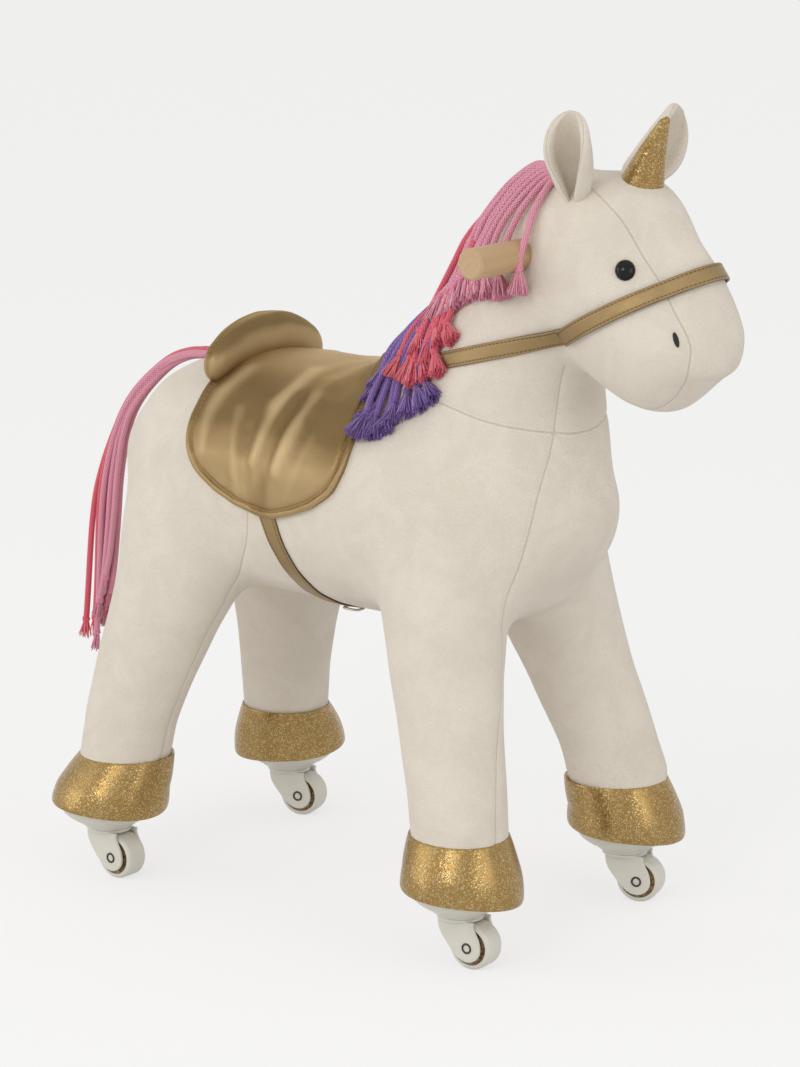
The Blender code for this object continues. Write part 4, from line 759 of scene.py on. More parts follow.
eye_black = mottled(
    "eye_black", 0.06, 0.0, 500.0, (0.002, 0.002, 0.0025), (0.007, 0.006, 0.006),
    change=(0.06, 0.03), Specular_IOR_Level=0.28,
)
black_thread = mottled(
    "black_thread", 0.6, 0.0, 1500.0, (0.004, 0.004, 0.004), (0.022, 0.020, 0.020), bump=(0.0004, 0.6)
)


def seat_on_skin(place_x, hand, place_z, lean):
    """A spot on the side of the face, its normal, and the ways up and across it, turned by a lean."""
    spot, normal, _, _ = skin_tree.ray_cast((place_x, hand * 0.2, place_z), (0, -hand, 0))
    upright = Vector((-math.sin(lean), 0, math.cos(lean)))
    upward = (upright - normal * normal.dot(upright)).normalized()
    return spot, normal, upward, normal.cross(upward)


for side_name, hand in (("right", -1), ("left", 1)):
    spot, normal, upward, across_way = seat_on_skin(0.241, hand, 0.563, math.radians(12))
    rings = []
    for row in reversed(range(eye_rows)):
        turn = math.pi * (0.5 - row / eye_rows)
        radius = eye_radius * math.cos(turn) if row < 8 else eye_radius - 0.0006 * (row - 7)
        middle = spot + normal * eye_height * math.sin(turn)
        ring = []
        for angle in around(32):
            out = upward * math.cos(angle) * 1.05 + across_way * math.sin(angle)
            ring.append(middle + out * max(radius, 0.0003))
        rings.append(ring)
    eye = ringed("eye_dome_" + side_name, rings, eye_black)
    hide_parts("eye_" + side_name)
    spot, normal, upward, across_way = seat_on_skin(0.289, hand, 0.5145, math.radians(20))
    rings = []
    for index in range(25):
        along = (index / 24 - 0.5) * nostril_length
        half = nostril_half * math.sqrt(max(0.02, 1 - (2 * index / 24 - 1) ** 2))
        ridge = 0.0011 + 0.0003 * math.cos(index * math.pi)
        ring = []
        for angle in around(12):
            out = across_way * half * math.cos(angle) + normal * (ridge * math.sin(angle))
            ring.append(spot + upward * along + out)
        rings.append(ring)
    bar = ringed("nostril_stitches_" + side_name, rings, black_thread)
    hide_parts("nostril_" + side_name)

# The handle: a turned beech dowel, oiled, with a small chamfer at each end. It passes through the
# neck and is held in the steel post's sleeve.
handle_x, handle_z = 0.146, 0.5665
handle_radius = 0.0125
handle_half = 0.115
# In from each end of the dowel, and its radius there as a share
handle_end = ((0.0, 0.4), (0.0, 0.84), (0.0006, 0.91), (0.0022, 1.0))

wood = Finish("beech", 0.48)
wood_place = wood.add("Mapping", {"Vector": wood.place(), "Scale": (1.0, 0.06, 1.0)})[0]
wood_grain = wood.noise(260.0, 5.0, 0.6, wood_place)
wood_shifted = wood.add("Mapping", {"Vector": wood_place, "Location": (-0.15, 0, -0.56)})[0]
wood_inputs = {"Vector": wood_shifted, "Scale": 60.0, "Distortion": 2.5, "Detail": 2.0}
wood_bands = wood.add("TexWave", wood_inputs, wave_type="RINGS", rings_direction="Y")["Fac"]
wood_flecks = wood.ramp(wood.noise(1400.0, 2.0, place=wood_place), 0.6, 0.8)
wood_share = wood.times(wood_bands, 0.12, wood.times(wood_grain, 0.6))
wood_tone = wood.mix(wood_share, (0.60, 0.42, 0.245), (0.43, 0.265, 0.130))
wood_tone = wood.over(wood_tone, (0.42, 0.24, 0.11), wood_flecks, 0.35)
wood.feed(Base_Color=wood_tone, Normal=wood.bump(wood_grain, 0.0003, 0.35))

dowel_rows = [(-handle_half + inward, share) for inward, share in handle_end]
dowel_rows += [(-place_y, share) for place_y, share in reversed(dowel_rows)]
rings = []
for place_y, share in dowel_rows:
    reach = handle_radius * share
    round_it = [(reach * math.cos(angle), reach * math.sin(angle)) for angle in around(64)]
    rings.append([(handle_x + forward, place_y, handle_z - down) for forward, down in round_it])
dowel = ringed("dowel", rings, wood)
dowel.data.set_sharp_from_angle(angle=math.radians(28))
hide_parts("handle")

# The saddle: a pad of gold leather-look cloth over foam, bound at its edge and top-stitched inside
# the binding. It is drawn down over the back and caught by the girth, so soft folds cross it.
saddle_middle_x = -0.068
saddle_length = 0.181
saddle_drop = math.radians(96)
saddle_thickness = 0.0066
saddle_edge = 0.0036
saddle_stitch = 0.0062
saddle_rows = 120
saddle_columns = 56
# The barrel's axis and its radius, round which the saddle is laid out flat
barrel_z = 0.3465
barrel_radius = 0.102
# Down from the back's middle: where the rear and the front edges lie, as shares of the length
saddle_shares = (
    (0.00, -0.57, 0.24), (0.16, -0.57, 0.305), (0.30, -0.565, 0.35), (0.42, -0.56, 0.378),
    (0.54, -0.552, 0.405), (0.66, -0.547, 0.415), (0.75, -0.52, 0.405), (0.84, -0.455, 0.36),
    (0.92, -0.33, 0.255), (0.97, -0.19, 0.135), (1.00, -0.05, 0.03),
)
# Ridges and dips that the girth draws in the cloth: points as place and degrees down, height, width
saddle_folds = (
    (((-0.080, 22), (-0.078, 42), (-0.081, 59), (-0.086, 72)), 0.0019, 0.0095),
    (((-0.060, 0), (-0.070, 19), (-0.076, 37), (-0.084, 46)), 0.0015, 0.0100),
    (((-0.047, 40), (-0.053, 58), (-0.060, 75)), 0.0017, 0.0085),
    (((-0.066, 40), (-0.069, 62), (-0.073, 78), (-0.076, 92)), -0.0022, 0.0065),
    (((-0.138, 30), (-0.146, 51), (-0.142, 72)), 0.0020, 0.0100),
    (((-0.100, 60), (-0.092, 78), (-0.084, 92)), -0.0015, 0.0075),
    (((-0.118, 52), (-0.108, 70), (-0.098, 86)), 0.0015, 0.0090),
    (((-0.040, 5), (-0.048, 22), (-0.058, 38)), 0.0014, 0.0080),
    (((-0.028, 12), (-0.036, 30), (-0.042, 50)), -0.0012, 0.0070),
    (((-0.125, 92), (-0.105, 100), (-0.085, 104)), 0.0016, 0.0080),
    (((-0.030, 60), (-0.038, 75), (-0.050, 90)), 0.0014, 0.0080),
)
# The left flap's folds lie this much further forward
left_fold_shift = 0.006

# Leather-look cloth: a fine pebbled grain with shallow pores, and a slow change of its gold
grain_inputs = {"Pebble Scale": 1100.0, "Cloud Scale": 30.0}
grain = Effect("leather_grain", grain_inputs, Shade="Float", Height="Float", Polish="Float")
pebbles = {"Vector": grain.place(), "Scale": grain.given["Pebble Scale"]}
grain_cells = grain.add("TexVoronoi", pebbles, feature="DISTANCE_TO_EDGE")["Distance"]
grain_cloud = grain.noise(grain.given["Cloud Scale"], 4.0)
grain_pores = grain.ramp(grain_cells, 0.0, 0.22)
grain.feed(Shade=grain.times(grain_pores, 0.25, grain.times(grain_cloud, 0.75)))
grain.feed(Height=grain_pores, Polish=grain.times(grain_cloud, 0.16, 0.27))

# A row of stitches at a distance from an edge: thread on top, in a shallow trench
stitch_inputs = {"Inset": 1.0, "Along": 0.0, "Row": 0.006, "Pitch": 0.0042, "Half Width": 0.0007}
stitch = Effect("stitch_row", stitch_inputs, Thread="Float", Trench="Float")
stitch_far = stitch.math("ABSOLUTE", stitch.less(stitch.given["Inset"], stitch.given["Row"]))
stitch_share = stitch.math("DIVIDE", stitch_far, stitch.given["Half Width"])
stitch_turn = stitch.math("FRACT", stitch.math("DIVIDE", stitch.given["Along"], stitch.given["Pitch"]))
stitch_dash = stitch.ramp(stitch.math("ABSOLUTE", stitch.less(stitch_turn, 0.5)), 0.30, 0.40)
stitch_line = stitch.inverse(stitch.ramp(stitch_share, 0.7, 1.3))
stitch.feed(Thread=stitch.times(stitch_line, stitch.inverse(stitch_dash)))
stitch.feed(Trench=stitch.inverse(stitch.ramp(stitch_share, 0.6, 2.6)))

# Painted light on the gold film, by which way each part faces: painted shade on its slopes, in its
# dips and in the stitch trench, and painted highlights on its flat top, its steep sides and its
# folds' ridges
leather = Finish("gold_leather", 0.29, 0.86, Specular_Tint=(1.0, 0.86, 0.66))
leather_grain = leather.use(grain)
leather_row = leather.use(stitch, Inset=leather.value("inset"), Along=leather.value("along"))
leather_normal = leather.add("NewGeometry", {})["Normal"]
leather_up = leather.add("SeparateXYZ", {0: leather_normal})["Z"]
leather_turned = leather.times(leather_up, -1.0, 1.0)
leather_low = leather.ramp(leather_turned, 0.42, 0.78)
leather_slope_shade = leather.less(leather.ramp(leather_turned, 0.03, 0.18), leather_low)
leather_top_highlight = leather.ramp(leather_up, 0.93, 1.0)
leather_fold = leather.value("fold")
leather_dip_shade = leather.ramp(leather.times(leather_fold, -1.0), 0.0, 0.0026)
leather_gold = leather.mix(leather_grain["Shade"], (0.255, 0.165, 0.070), (0.40, 0.275, 0.128))
# Rows: slope shade, top and side highlight, dip shade, ridge highlight and trench shade, all painted
# light; then the thread's own colour
for leather_tone, leather_mask, leather_strength in (
    ((0.135, 0.085, 0.032), leather_slope_shade, 0.62),
    ((0.62, 0.47, 0.27), leather.times(leather_low, 0.7, leather_top_highlight), 0.40),
    ((0.17, 0.10, 0.038), leather_dip_shade, 0.45),
    ((0.74, 0.56, 0.32), leather.ramp(leather_fold, 0.0004, 0.0030), 0.55),
    ((0.20, 0.115, 0.04), leather_row["Trench"], 0.30),
    ((0.36, 0.22, 0.085), leather_row["Thread"], 0.85),
):
    leather_gold = leather.over(leather_gold, leather_tone, leather_mask, leather_strength)
leather_height = leather.times(leather_grain["Height"], 0.35)
leather_height = leather.times(leather_row["Trench"], -1.4, leather_height)
leather_height = leather.times(leather_row["Thread"], 1.6, leather_height)
leather.feed(Base_Color=leather_gold, Roughness=leather_grain["Polish"])
leather.feed(Normal=leather.bump(leather_height, 0.0005, 0.7))


def on_barrel(place_x, angle):
    """The skin at an angle from straight up, towards the right, seen from the barrel's axis."""
    way = Vector((0, -math.sin(angle), math.cos(angle)))
    start = Vector((place_x, 0, barrel_z)) + way * 0.22
    spot, normal, _, _ = skin_tree.ray_cast(start, -way, 0.3)
    return spot, normal


def round_edge(grid):
    """The outermost entries of a grid, once round it."""
    return np.concatenate([grid[0], grid[1:, -1], grid[-1, -2::-1], grid[-2:0:-1, 0]])


def round_off(made, width):
    """Rounds a piece's sharp edges."""
    bevel = made.modifiers.new("round_off", "BEVEL")
    bevel.width = width
    bevel.segments = 3
    bevel.limit_method = "ANGLE"
    bevel.angle_limit = math.radians(50)


steps = np.arange(saddle_columns + 1) / saddle_columns
column_shares = 0.55 * (0.5 - 0.5 * np.cos(math.pi * steps)) + 0.45 * steps
base = np.zeros((saddle_rows + 1, saddle_columns + 1, 3))
ways = np.zeros_like(base)
for index in range(saddle_rows + 1):
    spread = 2 * index / saddle_rows - 1
    down = 1 - (1 - abs(spread)) ** 1.25
    place = from_table([(given[0], number) for number, given in enumerate(saddle_shares)], down)
    _, rear, front = table_row(saddle_shares, place)
    angle = saddle_drop * math.copysign(down, spread)
    for column, share in enumerate(column_shares):
        place_x = saddle_middle_x + saddle_length * (rear + (front - rear) * share)
        base[index, column], ways[index, column] = on_barrel(place_x, angle)
for _ in range(10):
    beside = ways[:-2, 1:-1] + ways[2:, 1:-1] + ways[1:-1, :-2] + ways[1:-1, 2:]
    ways[1:-1, 1:-1] = (ways[1:-1, 1:-1] * 2 + beside) / 6
ways /= np.linalg.norm(ways, axis=2)[:, :, None]
outline = round_edge(base)
inset, travel, _ = nearest_on_line(base.reshape(-1, 3), np.vstack([outline, outline[:1]]))
inset = inset.reshape(base.shape[:2])
puff = saddle_edge + (saddle_thickness - saddle_edge) * np.clip(1 - np.exp(-inset / 0.011), 0, 1)
puff -= 0.0016 * np.exp(-(((inset - saddle_stitch) / 0.0018) ** 2))
puff += 0.0006 * np.exp(-(((inset - 0.0028) / 0.0022) ** 2))
fold_lines = []
for fold_spots, fold_height, fold_width in saddle_folds:
    flat_spots = [(place_x, barrel_radius * math.radians(down)) for place_x, down in fold_spots]
    fold_lines.append((smooth_line(flat_spots, 0.002), fold_height, fold_width))
folds = np.zeros_like(inset)
for place in np.ndindex(folds.shape):
    x, y, z = base[place]
    gather = math.exp(-(((x + 0.070) / 0.05) ** 2)) * min(1, max(0, (0.445 - z) / 0.12))
    ripple = noise.noise(Vector((x * 34 + abs(y) * 9, y * 10, z * 13)))
    slow = noise.noise(Vector((x * 14 + 3, y * 9, z * 9)))
    folds[place] = 0.0016 * slow + 0.0012 * ripple * (0.5 + gather)
    turned_down = math.atan2(abs(y), z - barrel_z)
    flat_spot = np.array((x - (left_fold_shift if y > 0 else 0), barrel_radius * turned_down))
    for line, fold_height, fold_width in fold_lines:
        distance = np.linalg.norm(line - flat_spot, axis=1).min()
        folds[place] += fold_height * math.exp(-((distance / fold_width) ** 2))
puff += folds * np.clip(inset / 0.02, 0, 1)
upper = (base + ways * puff[:, :, None]).reshape(-1, 3)
lower = (base - ways * 0.0005).reshape(-1, 3)
numbers = np.arange(len(upper)).reshape(inset.shape)
faces = []
for index, column in np.ndindex(saddle_rows, saddle_columns):
    (a, b), (d, c) = numbers[index : index + 2, column : column + 2].tolist()
    faces.append((a, d, c, b))
    faces.append(tuple(len(upper) + number for number in (a, b, c, d)))
rim = round_edge(numbers).tolist()
for first, second in zip(rim, rim[1:] + rim[:1]):
    faces.append((first, second, len(upper) + second, len(upper) + first))
saddle = piece("saddle_pad", [*upper, *lower], faces, leather)
for label, values in (("inset", inset), ("along", travel), ("fold", folds)):
    give_values(saddle, label, np.tile(values.ravel(), 2))
round_off(saddle, 0.0014)
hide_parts("saddle")

# The cantle: a stuffed crescent of the same cloth that stands up behind the rider. Its two panels
# meet in a piped seam round the top, and it puckers where it is sewn down.
cantle_x = -0.166
cantle_reach = math.radians(38)
cantle_height = 0.043
cantle_depth = 0.031
cantle_sunk = 0.0065
cantle_rows = 61
cantle_sides = 36
rings = []
for index in range(cantle_rows):
    share = 2 * index / (cantle_rows - 1) - 1
    spot, normal = on_barrel(cantle_x, -cantle_reach * 1.02 * share)
    taper = 1 - 0.30 * share**2
    fullness = taper * math.sqrt(max(0.0, 1 - abs(share) ** 9)) + 0.01
    centre = spot + normal * (cantle_height / 2 * taper - cantle_sunk)
    ring = []
    for turn in around(cantle_sides):
        pucker = 1 + 0.03 * noise.noise(Vector((share * 5, math.cos(turn) * 2, math.sin(turn) * 2)))
        draw = 1 - 0.06 * math.exp(-(((turn - math.pi / 2) / 0.12) ** 2))
        out = Vector((1, 0, 0)) * math.cos(turn) * cantle_depth / 2
        out += normal * math.sin(turn) * cantle_height / 2 * draw
        ring.append(centre + out * fullness * pucker)
    rings.append(ring)
cantle = ringed("cantle_crescent", rings, leather)
cantle_inset = [0.0045 + abs(turn - math.pi / 2) * 0.012 for turn in around(cantle_sides)]
give_values(cantle, "inset", cantle_inset * cantle_rows)
give_values(cantle, "along", np.repeat(np.arange(cantle_rows) * 0.0026, cantle_sides))
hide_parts("cantle_roll")

# The girth: a narrow strap of thicker gold cloth, stitched close to each edge. It is sewn under
# both saddle flaps and drawn round the belly, where a small buckle of bent wire hangs on it.
girth_side_x = -0.078
girth_belly_x = -0.046
girth_start = math.radians(84)
girth_width = 0.0160
girth_thickness = 0.0020
buckle_y = -0.026
buckle_drop = 0.0034
buckle_half_length = 0.0079
buckle_half_width = 0.0056
buckle_wire = 0.00105
# Across a strap and up through it, as shares of its width and thickness
strap_corners = (
    (-0.5, 0.1), (-0.5, 0.7), (-0.46, 0.96), (-0.40, 1.0), (-0.2, 1.0), (0.0, 1.0),
    (0.2, 1.0), (0.40, 1.0), (0.46, 0.96), (0.5, 0.7), (0.5, 0.1), (0.0, 0.0),
)

strap_gold = Finish("gold_strap", 0.33, 0.78)
strap_grain = strap_gold.use(grain)
strap_inset = strap_gold.value("inset")
strap_row_at = {"Inset": strap_inset, "Along": strap_gold.value("along")}
strap_row = strap_gold.use(stitch, **strap_row_at, Row=0.0021, Pitch=0.0034, Half_Width=0.0005)
strap_tone = strap_gold.mix(strap_grain["Shade"], (0.255, 0.170, 0.077), (0.385, 0.272, 0.130))
strap_cut = strap_gold.inverse(strap_gold.ramp(strap_inset, -0.0006, 0.0004))
strap_tone = strap_gold.over(strap_tone, (0.05, 0.03, 0.015), strap_cut, 0.85)
strap_tone = strap_gold.over(strap_tone, (0.12, 0.07, 0.028), strap_row["Thread"], 0.9)
strap_height = strap_gold.times(strap_grain["Height"], 0.3)
strap_height = strap_gold.times(strap_row["Trench"], -1.0, strap_height)
strap_gold.feed(Base_Color=strap_tone, Roughness=strap_grain["Polish"])
strap_gold.feed(Normal=strap_gold.bump(strap_height, 0.0004, 0.6))


def strap(name, line, normals, width, thickness):
    """A flat strap with rounded edges along points on the skin, with its stitch values."""
    rings = []
    insets = []
    for index, (spot, normal) in enumerate(zip(line, normals)):
        way = line[min(index + 1, len(line) - 1)] - line[max(index - 1, 0)]
        way /= np.linalg.norm(way)
        side = np.cross(way, normal)
        side /= np.linalg.norm(side)
        up = np.cross(side, way)
        up *= math.copysign(1, float(up @ normal))
        ring = []
        for across, lift in strap_corners:
            ring.append(spot + side * width * across + up * thickness * lift)
            insets.append((0.5 - abs(across)) * width if lift > 0.5 else -0.002)
        rings.append(ring)
    made = ringed(name, rings, strap_gold)
    give_values(made, "inset", insets)
    give_values(made, "along", np.repeat(travel_along(line), len(strap_corners)))
    return made


hits = []
for index in range(141):
    angle = girth_start + 2 * (math.pi - girth_start) * index / 140
    forward = (girth_belly_x - girth_side_x) * math.sin(math.pi * index / 140)
    hits.append(on_barrel(girth_side_x + forward, angle))
line, normals = np.array(hits).transpose(1, 0, 2)
girth = strap("girth", line, normals, girth_width, girth_thickness)
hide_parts("girth_strap")

buckle_steel = mottled(
    "buckle_steel", 0.28, 1.0, 300.0, (0.42, 0.38, 0.32), (0.66, 0.62, 0.56), change=(0.2, 0.2)
)
belly_spot = skin_tree.ray_cast((girth_belly_x, buckle_y, 0.1), (0, 0, 1))[0]
buckle_middle = belly_spot - Vector((0, 0, buckle_drop))
rings = []
for angle in around(48):
    outward = Vector((math.cos(angle), math.sin(angle), 0))
    along, across = [math.copysign(abs(number) ** 0.45, number) for number in outward.xy]
    middle = buckle_middle + Vector((along * buckle_half_length, across * buckle_half_width, 0))
    wire = [outward * math.cos(turn) + Vector((0, 0, 1)) * math.sin(turn) for turn in around(10)]
    rings.append([middle + way * buckle_wire for way in wire])
buckle = ringed("buckle_wire", rings, buckle_steel, loop=True)
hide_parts("girth_buckle")

# The bridle: a noseband and a rein of the same strap, in one slanting loop from the bridge of the
# nose to the crest. The noseband's ends lap over the rein behind the cheek and are stitched to it.
bridle_width = 0.0142
bridle_thickness = 0.0019
# Node, name, a spot inside the loop, its slope, how far it goes each way from its middle, where its
# middle faces, and how far it lies off the skin
bridle_bands = (
    ("bridle_rein", "rein", (0.135, 0.0, 0.4920), 15.7, 138, 180, 0.0004),
    ("bridle_noseband", "noseband", (0.235, 0.0, 0.5300), 27.5, 133, 0, 0.0024),
)


def lift_off_skin(line, least):
    """Moves the points of a line that lie too near to the skin, or inside it, straight out of it."""
    for index in range(len(line)):
        spot, normal, _, _ = skin_tree.find_nearest(Vector(line[index]))
        height = (Vector(line[index]) - spot).dot(normal)
        if height < least[index]:
            line[index] += np.array(normal) * (least[index] - height)


def even_out(line):
    """Draws each point of a line, but its ends, towards its neighbours."""
    line[1:-1] = (line[:-2] + 2 * line[1:-1] + line[2:]) / 4


for node_name, made_name, inside, slope, half_turn, middle_turn, lift in bridle_bands:
    forward = Vector((math.cos(math.radians(slope)), 0, math.sin(math.radians(slope))))
    hits = []
    for index in range(361):
        angle = math.radians(middle_turn) + math.radians(half_turn) * (index / 180 - 1)
        way = forward * math.cos(angle) + Vector((0, math.sin(angle), 0))
        spot, normal, _, _ = skin_tree.ray_cast(Vector(inside) + way * 0.125, -way, 0.125)
        if spot is not None:
            hits.append((spot, normal))
    line, normals = np.array(hits).transpose(1, 0, 2)
    travel = travel_along(line)
    even = np.linspace(0, travel[-1], 170)
    line = np.stack([np.interp(even, travel, places) for places in line.T], axis=1)
    normals = np.stack([np.interp(even, travel, places) for places in normals.T], axis=1)
    for _ in range(24):
        even_out(line)
        even_out(normals)
        lift_off_skin(line, [lift] * len(line))
    normals /= np.linalg.norm(normals, axis=1)[:, None]
    band = strap(made_name, line, normals, bridle_width, bridle_thickness)
    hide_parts(node_name)

# The mane: braided cotton cords sewn along the crest from the poll to the withers and brushed over
# the right side of the neck. Each is knotted, and frayed below the knot into a soft tassel.
cord_width = 0.0054
cord_sides = 14
coil_turns = 1.7
coil_height = 0.0036
coil_radius = 0.0018
tassel_length = 0.0225
# Along each cord, points from its root to its knot, in millimetres; the last is its tassel's tip
pink_routes = (
    ((163, -27, 623.5), (159, -39, 612.5), (156, -47, 599.5), (155, -54, 585.5), (154, -61, 569.5),
        (153, -62, 557.5), (151, -60, 535.5)),
    ((159, -26, 625.5), (147, -38, 608.5), (139, -46, 594.5), (134, -51, 580.5), (131, -54, 565.5),
        (128, -56, 550.5), (136, -60, 529.5)),
    ((153, -23, 626.5), (141, -32, 614.5), (131, -38, 601.5), (122, -41, 587.5), (116, -45, 573.5),
        (112, -51, 547.5), (124, -60, 526.5)),
    ((148, -20, 628.5), (134, -27, 615.5), (123, -33, 601.5), (113, -35, 587.5), (106, -37, 572.5),
        (98, -44, 544.5), (112, -58, 519.5)),
    ((143, -16, 629.5), (128, -22, 616.5), (117, -28, 602.5), (106, -29, 587.5), (98, -31, 572.5),
        (88, -39, 541.5), (98, -54, 510.5)),
    ((138, -12, 630.5), (121, -18, 616.5), (110, -24, 603.5), (99, -27, 588.5), (91, -28, 572.5),
        (79, -35, 537.5), (88, -54, 504.5)),
    ((133, -9, 631.5), (112, -14, 617.5), (102, -20, 603.5), (92, -24, 589.5), (84, -26, 573.5),
        (69, -29, 527.5), (76, -45, 500.5)),
    ((128, -6, 631.5), (106, -10, 616.5), (96, -17, 602.5), (85, -21, 586.5), (76, -23, 569.5),
        (58, -26, 521.5), (60, -40, 495.5)),
    ((122, -4, 627.5), (101, -8, 609.5), (89, -14, 594.5), (78, -19, 577.5), (68, -21, 559.5),
        (47, -19, 515.5), (44, -32, 492.5)),
    ((118, -2, 623.5), (98, -3, 603.5), (84, -8, 586.5), (70, -13, 566.5), (58, -15, 547.5),
        (38, -14, 509.5), (30, -22, 487.5)),
)
coral_routes = (
    ((112, -6, 617.5), (95, -14, 598.5), (82, -21, 583.5), (69, -23, 567.5), (55, -20, 547.5),
        (30, -13, 513.5), (20, -22, 487.5), (17, -38, 470.5), (11, -47, 450.5)),
    ((108, -8, 611.5), (92, -20, 589.5), (82, -32, 561.5), (76, -42, 525.5), (72, -48, 503.5),
        (88, -60, 485.5)),
    ((102, -6, 601.5), (86, -18, 575.5), (72, -32, 541.5), (60, -41, 511.5), (57, -44, 498.5),
        (72, -57, 481.5)),
    ((96, -4, 595.5), (80, -8, 575.5), (64, -12, 551.5), (46, -22, 517.5), (34, -34, 489.5),
        (39, -49, 469.5)),
    ((90, -4, 587.5), (74, -20, 557.5), (62, -36, 519.5), (54, -46, 485.5), (56, -60, 460.5)),
    ((84, -4, 579.5), (72, -26, 543.5), (66, -44, 505.5), (66, -57, 480.5), (80, -67, 459.5)),
    ((78, -4, 571.5), (62, -24, 535.5), (52, -42, 495.5), (51, -53, 472.5), (70, -66, 454.5)),
    ((72, -4, 561.5), (54, -12, 535.5), (40, -28, 503.5), (34, -45, 470.5), (29, -55, 448.5)),
    ((66, -3, 551.5), (48, -18, 521.5), (40, -38, 489.5), (40, -52, 469.5), (46, -62, 446.5)),
)
purple_routes = (
    ((50, -4, 529.5), (32, -9, 513.5), (14, -10, 498.5), (0, -12, 484.5), (-8, -20, 467.5),
        (-10, -32, 453.5), (-6, -50, 435.5)),
    ((46, -4, 524.5), (26, -10, 506.5), (8, -16, 487.5), (-4, -26, 466.5), (-10, -39, 442.5),
        (-2, -60, 427.5)),
    ((43, -5, 520.5), (20, -16, 495.5), (6, -30, 469.5), (6, -46, 447.5), (10, -62, 431.5),
        (4, -80, 417.5)),
    ((40, -5, 517.5), (18, -20, 491.5), (4, -40, 461.5), (4, -60, 441.5), (9, -76, 426.5),
        (6, -92, 408.5)),
    ((38, -5, 515.5), (20, -26, 485.5), (12, -48, 451.5), (15, -70, 424.5), (22, -87, 402.5)),
    ((44, -6, 522.5), (28, -28, 487.5), (20, -48, 451.5), (23, -63, 427.5), (32, -85, 404.5)),
    ((50, -6, 528.5), (36, -30, 493.5), (27, -46, 455.5), (26, -57, 434.5), (34, -77, 411.5)),
    ((56, -6, 535.5), (44, -32, 499.5), (37, -50, 465.5), (39, -60, 445.5), (50, -76, 419.5)),
    ((62, -6, 542.5), (52, -34, 505.5), (48, -53, 471.5), (51, -62, 451.5), (66, -71, 430.5)),
    ((68, -6, 549.5), (60, -36, 511.5), (58, -56, 479.5), (60, -63, 457.5), (80, -71, 441.5)),
)
# Yarn, its cords' routes, and how far the ends of its cords lie off the skin, lowest layer first
mane_layers = (
    ("purple", purple_routes, 0.0030),
    ("coral", coral_routes, 0.0050),
    ("pink", pink_routes, 0.0070),
)
# From the first point of a pink cord back to where its root is sewn in, under the ear
pink_root = Vector((0.020, -0.003, -0.005))

# Braid: eight strands round the cord, crossing over and under each other
braid_inputs = {"Around": 0.0, "Along": 0.0, "Strands": 8.0, "Pitch": 0.0034}
braid = Effect("cord_braid", braid_inputs, Height="Float", Shade="Float")
braid_round = braid.times(braid.given["Around"], braid.given["Strands"])
braid_far = braid.math("DIVIDE", braid.given["Along"], braid.given["Pitch"])
braid_ways = [braid.math(operation, braid_round, braid_far) for operation in ("ADD", "SUBTRACT")]
braid_turns = [braid.times(braid.math("FRACT", way), math.pi) for way in braid_ways]
one, two = [braid.math("SINE", turn) for turn in braid_turns]
braid_cells = braid.math("ADD", *[braid.math("FLOOR", way) for way in braid_ways])
braid_first = braid.times(one, braid.times(two, 0.35, 0.65))
braid_second = braid.times(two, braid.times(one, 0.35, 0.65))
braid_more = braid.less(braid_first, braid_second)
braid_pick = braid.times(braid.math("PINGPONG", braid_cells, 1.0), braid_more)
braid_height = braid.math("ADD", braid_pick, braid_second)
# Painted shade: the braid is painted darker in its dips, with random flecks of tone
braid_shade = braid.times(braid_height, 0.95)
braid_shade = braid.times(braid.noise(900.0, 2.0), 0.30, braid_shade)
braid.feed(Height=braid_height, Shade=braid_shade)

# Each yarn: the braid's dips painted dark as shade, and its strands; then its frayed tassel's painted
# shade and light
yarns = {
    "pink": ((0.50, 0.075, 0.17), (0.95, 0.46, 0.58), (0.62, 0.16, 0.27), (0.97, 0.52, 0.62)),
    "coral": ((0.50, 0.022, 0.065), (0.95, 0.19, 0.25), (0.62, 0.06, 0.11), (0.97, 0.28, 0.33)),
    "purple": ((0.075, 0.03, 0.18), (0.33, 0.19, 0.55), (0.11, 0.05, 0.24), (0.38, 0.24, 0.60)),
}
cord_finishes = {}
tassel_finishes = {}
for yarn, (yarn_dip_shade, yarn_light, fray_dark, fray_light) in yarns.items():
    cotton = Finish(yarn + "_cord", 0.82, Sheen_Weight=0.25, Specular_IOR_Level=0.2)
    cotton_braid = cotton.use(braid, Around=cotton.value("around"), Along=cotton.value("along"))
    cotton.feed(Base_Color=cotton.mix(cotton_braid["Shade"], yarn_dip_shade, yarn_light))
    cotton.feed(Normal=cotton.bump(cotton_braid["Height"], 0.0008, 0.8))
    cord_finishes[yarn] = cotton
    loose = Finish(yarn + "_tassel", 0.88, Sheen_Weight=0.3, Specular_IOR_Level=0.15)
    loose_field = loose.noise(420.0)
    loose_share = loose.times(loose.ramp(loose_field, 0.1, 0.6), loose.value("tone"))
    loose.feed(Base_Color=loose.mix(loose_share, fray_dark, fray_light))
    loose.feed(Normal=loose.bump(loose_field, 0.0004, 0.5))
    tassel_finishes[yarn] = loose


def tube_rings(line, radii, sides):
    """Rings round a line, each turned as little as it can be from the one before."""
    ways = np.gradient(line, axis=0)
    ways /= np.linalg.norm(ways, axis=1)[:, None]
    side = np.cross(ways[0], (0.3, 0.1, 0.95))
    angles = 2 * np.pi * np.arange(sides) / sides
    rings = []
    for spot, way, radius in zip(line, ways, radii):
        side = side - way * (side @ way)
        side /= np.linalg.norm(side)
        up = np.cross(way, side)
        rings.append(spot + radius * (np.cos(angles)[:, None] * side + np.sin(angles)[:, None] * up))
    return rings


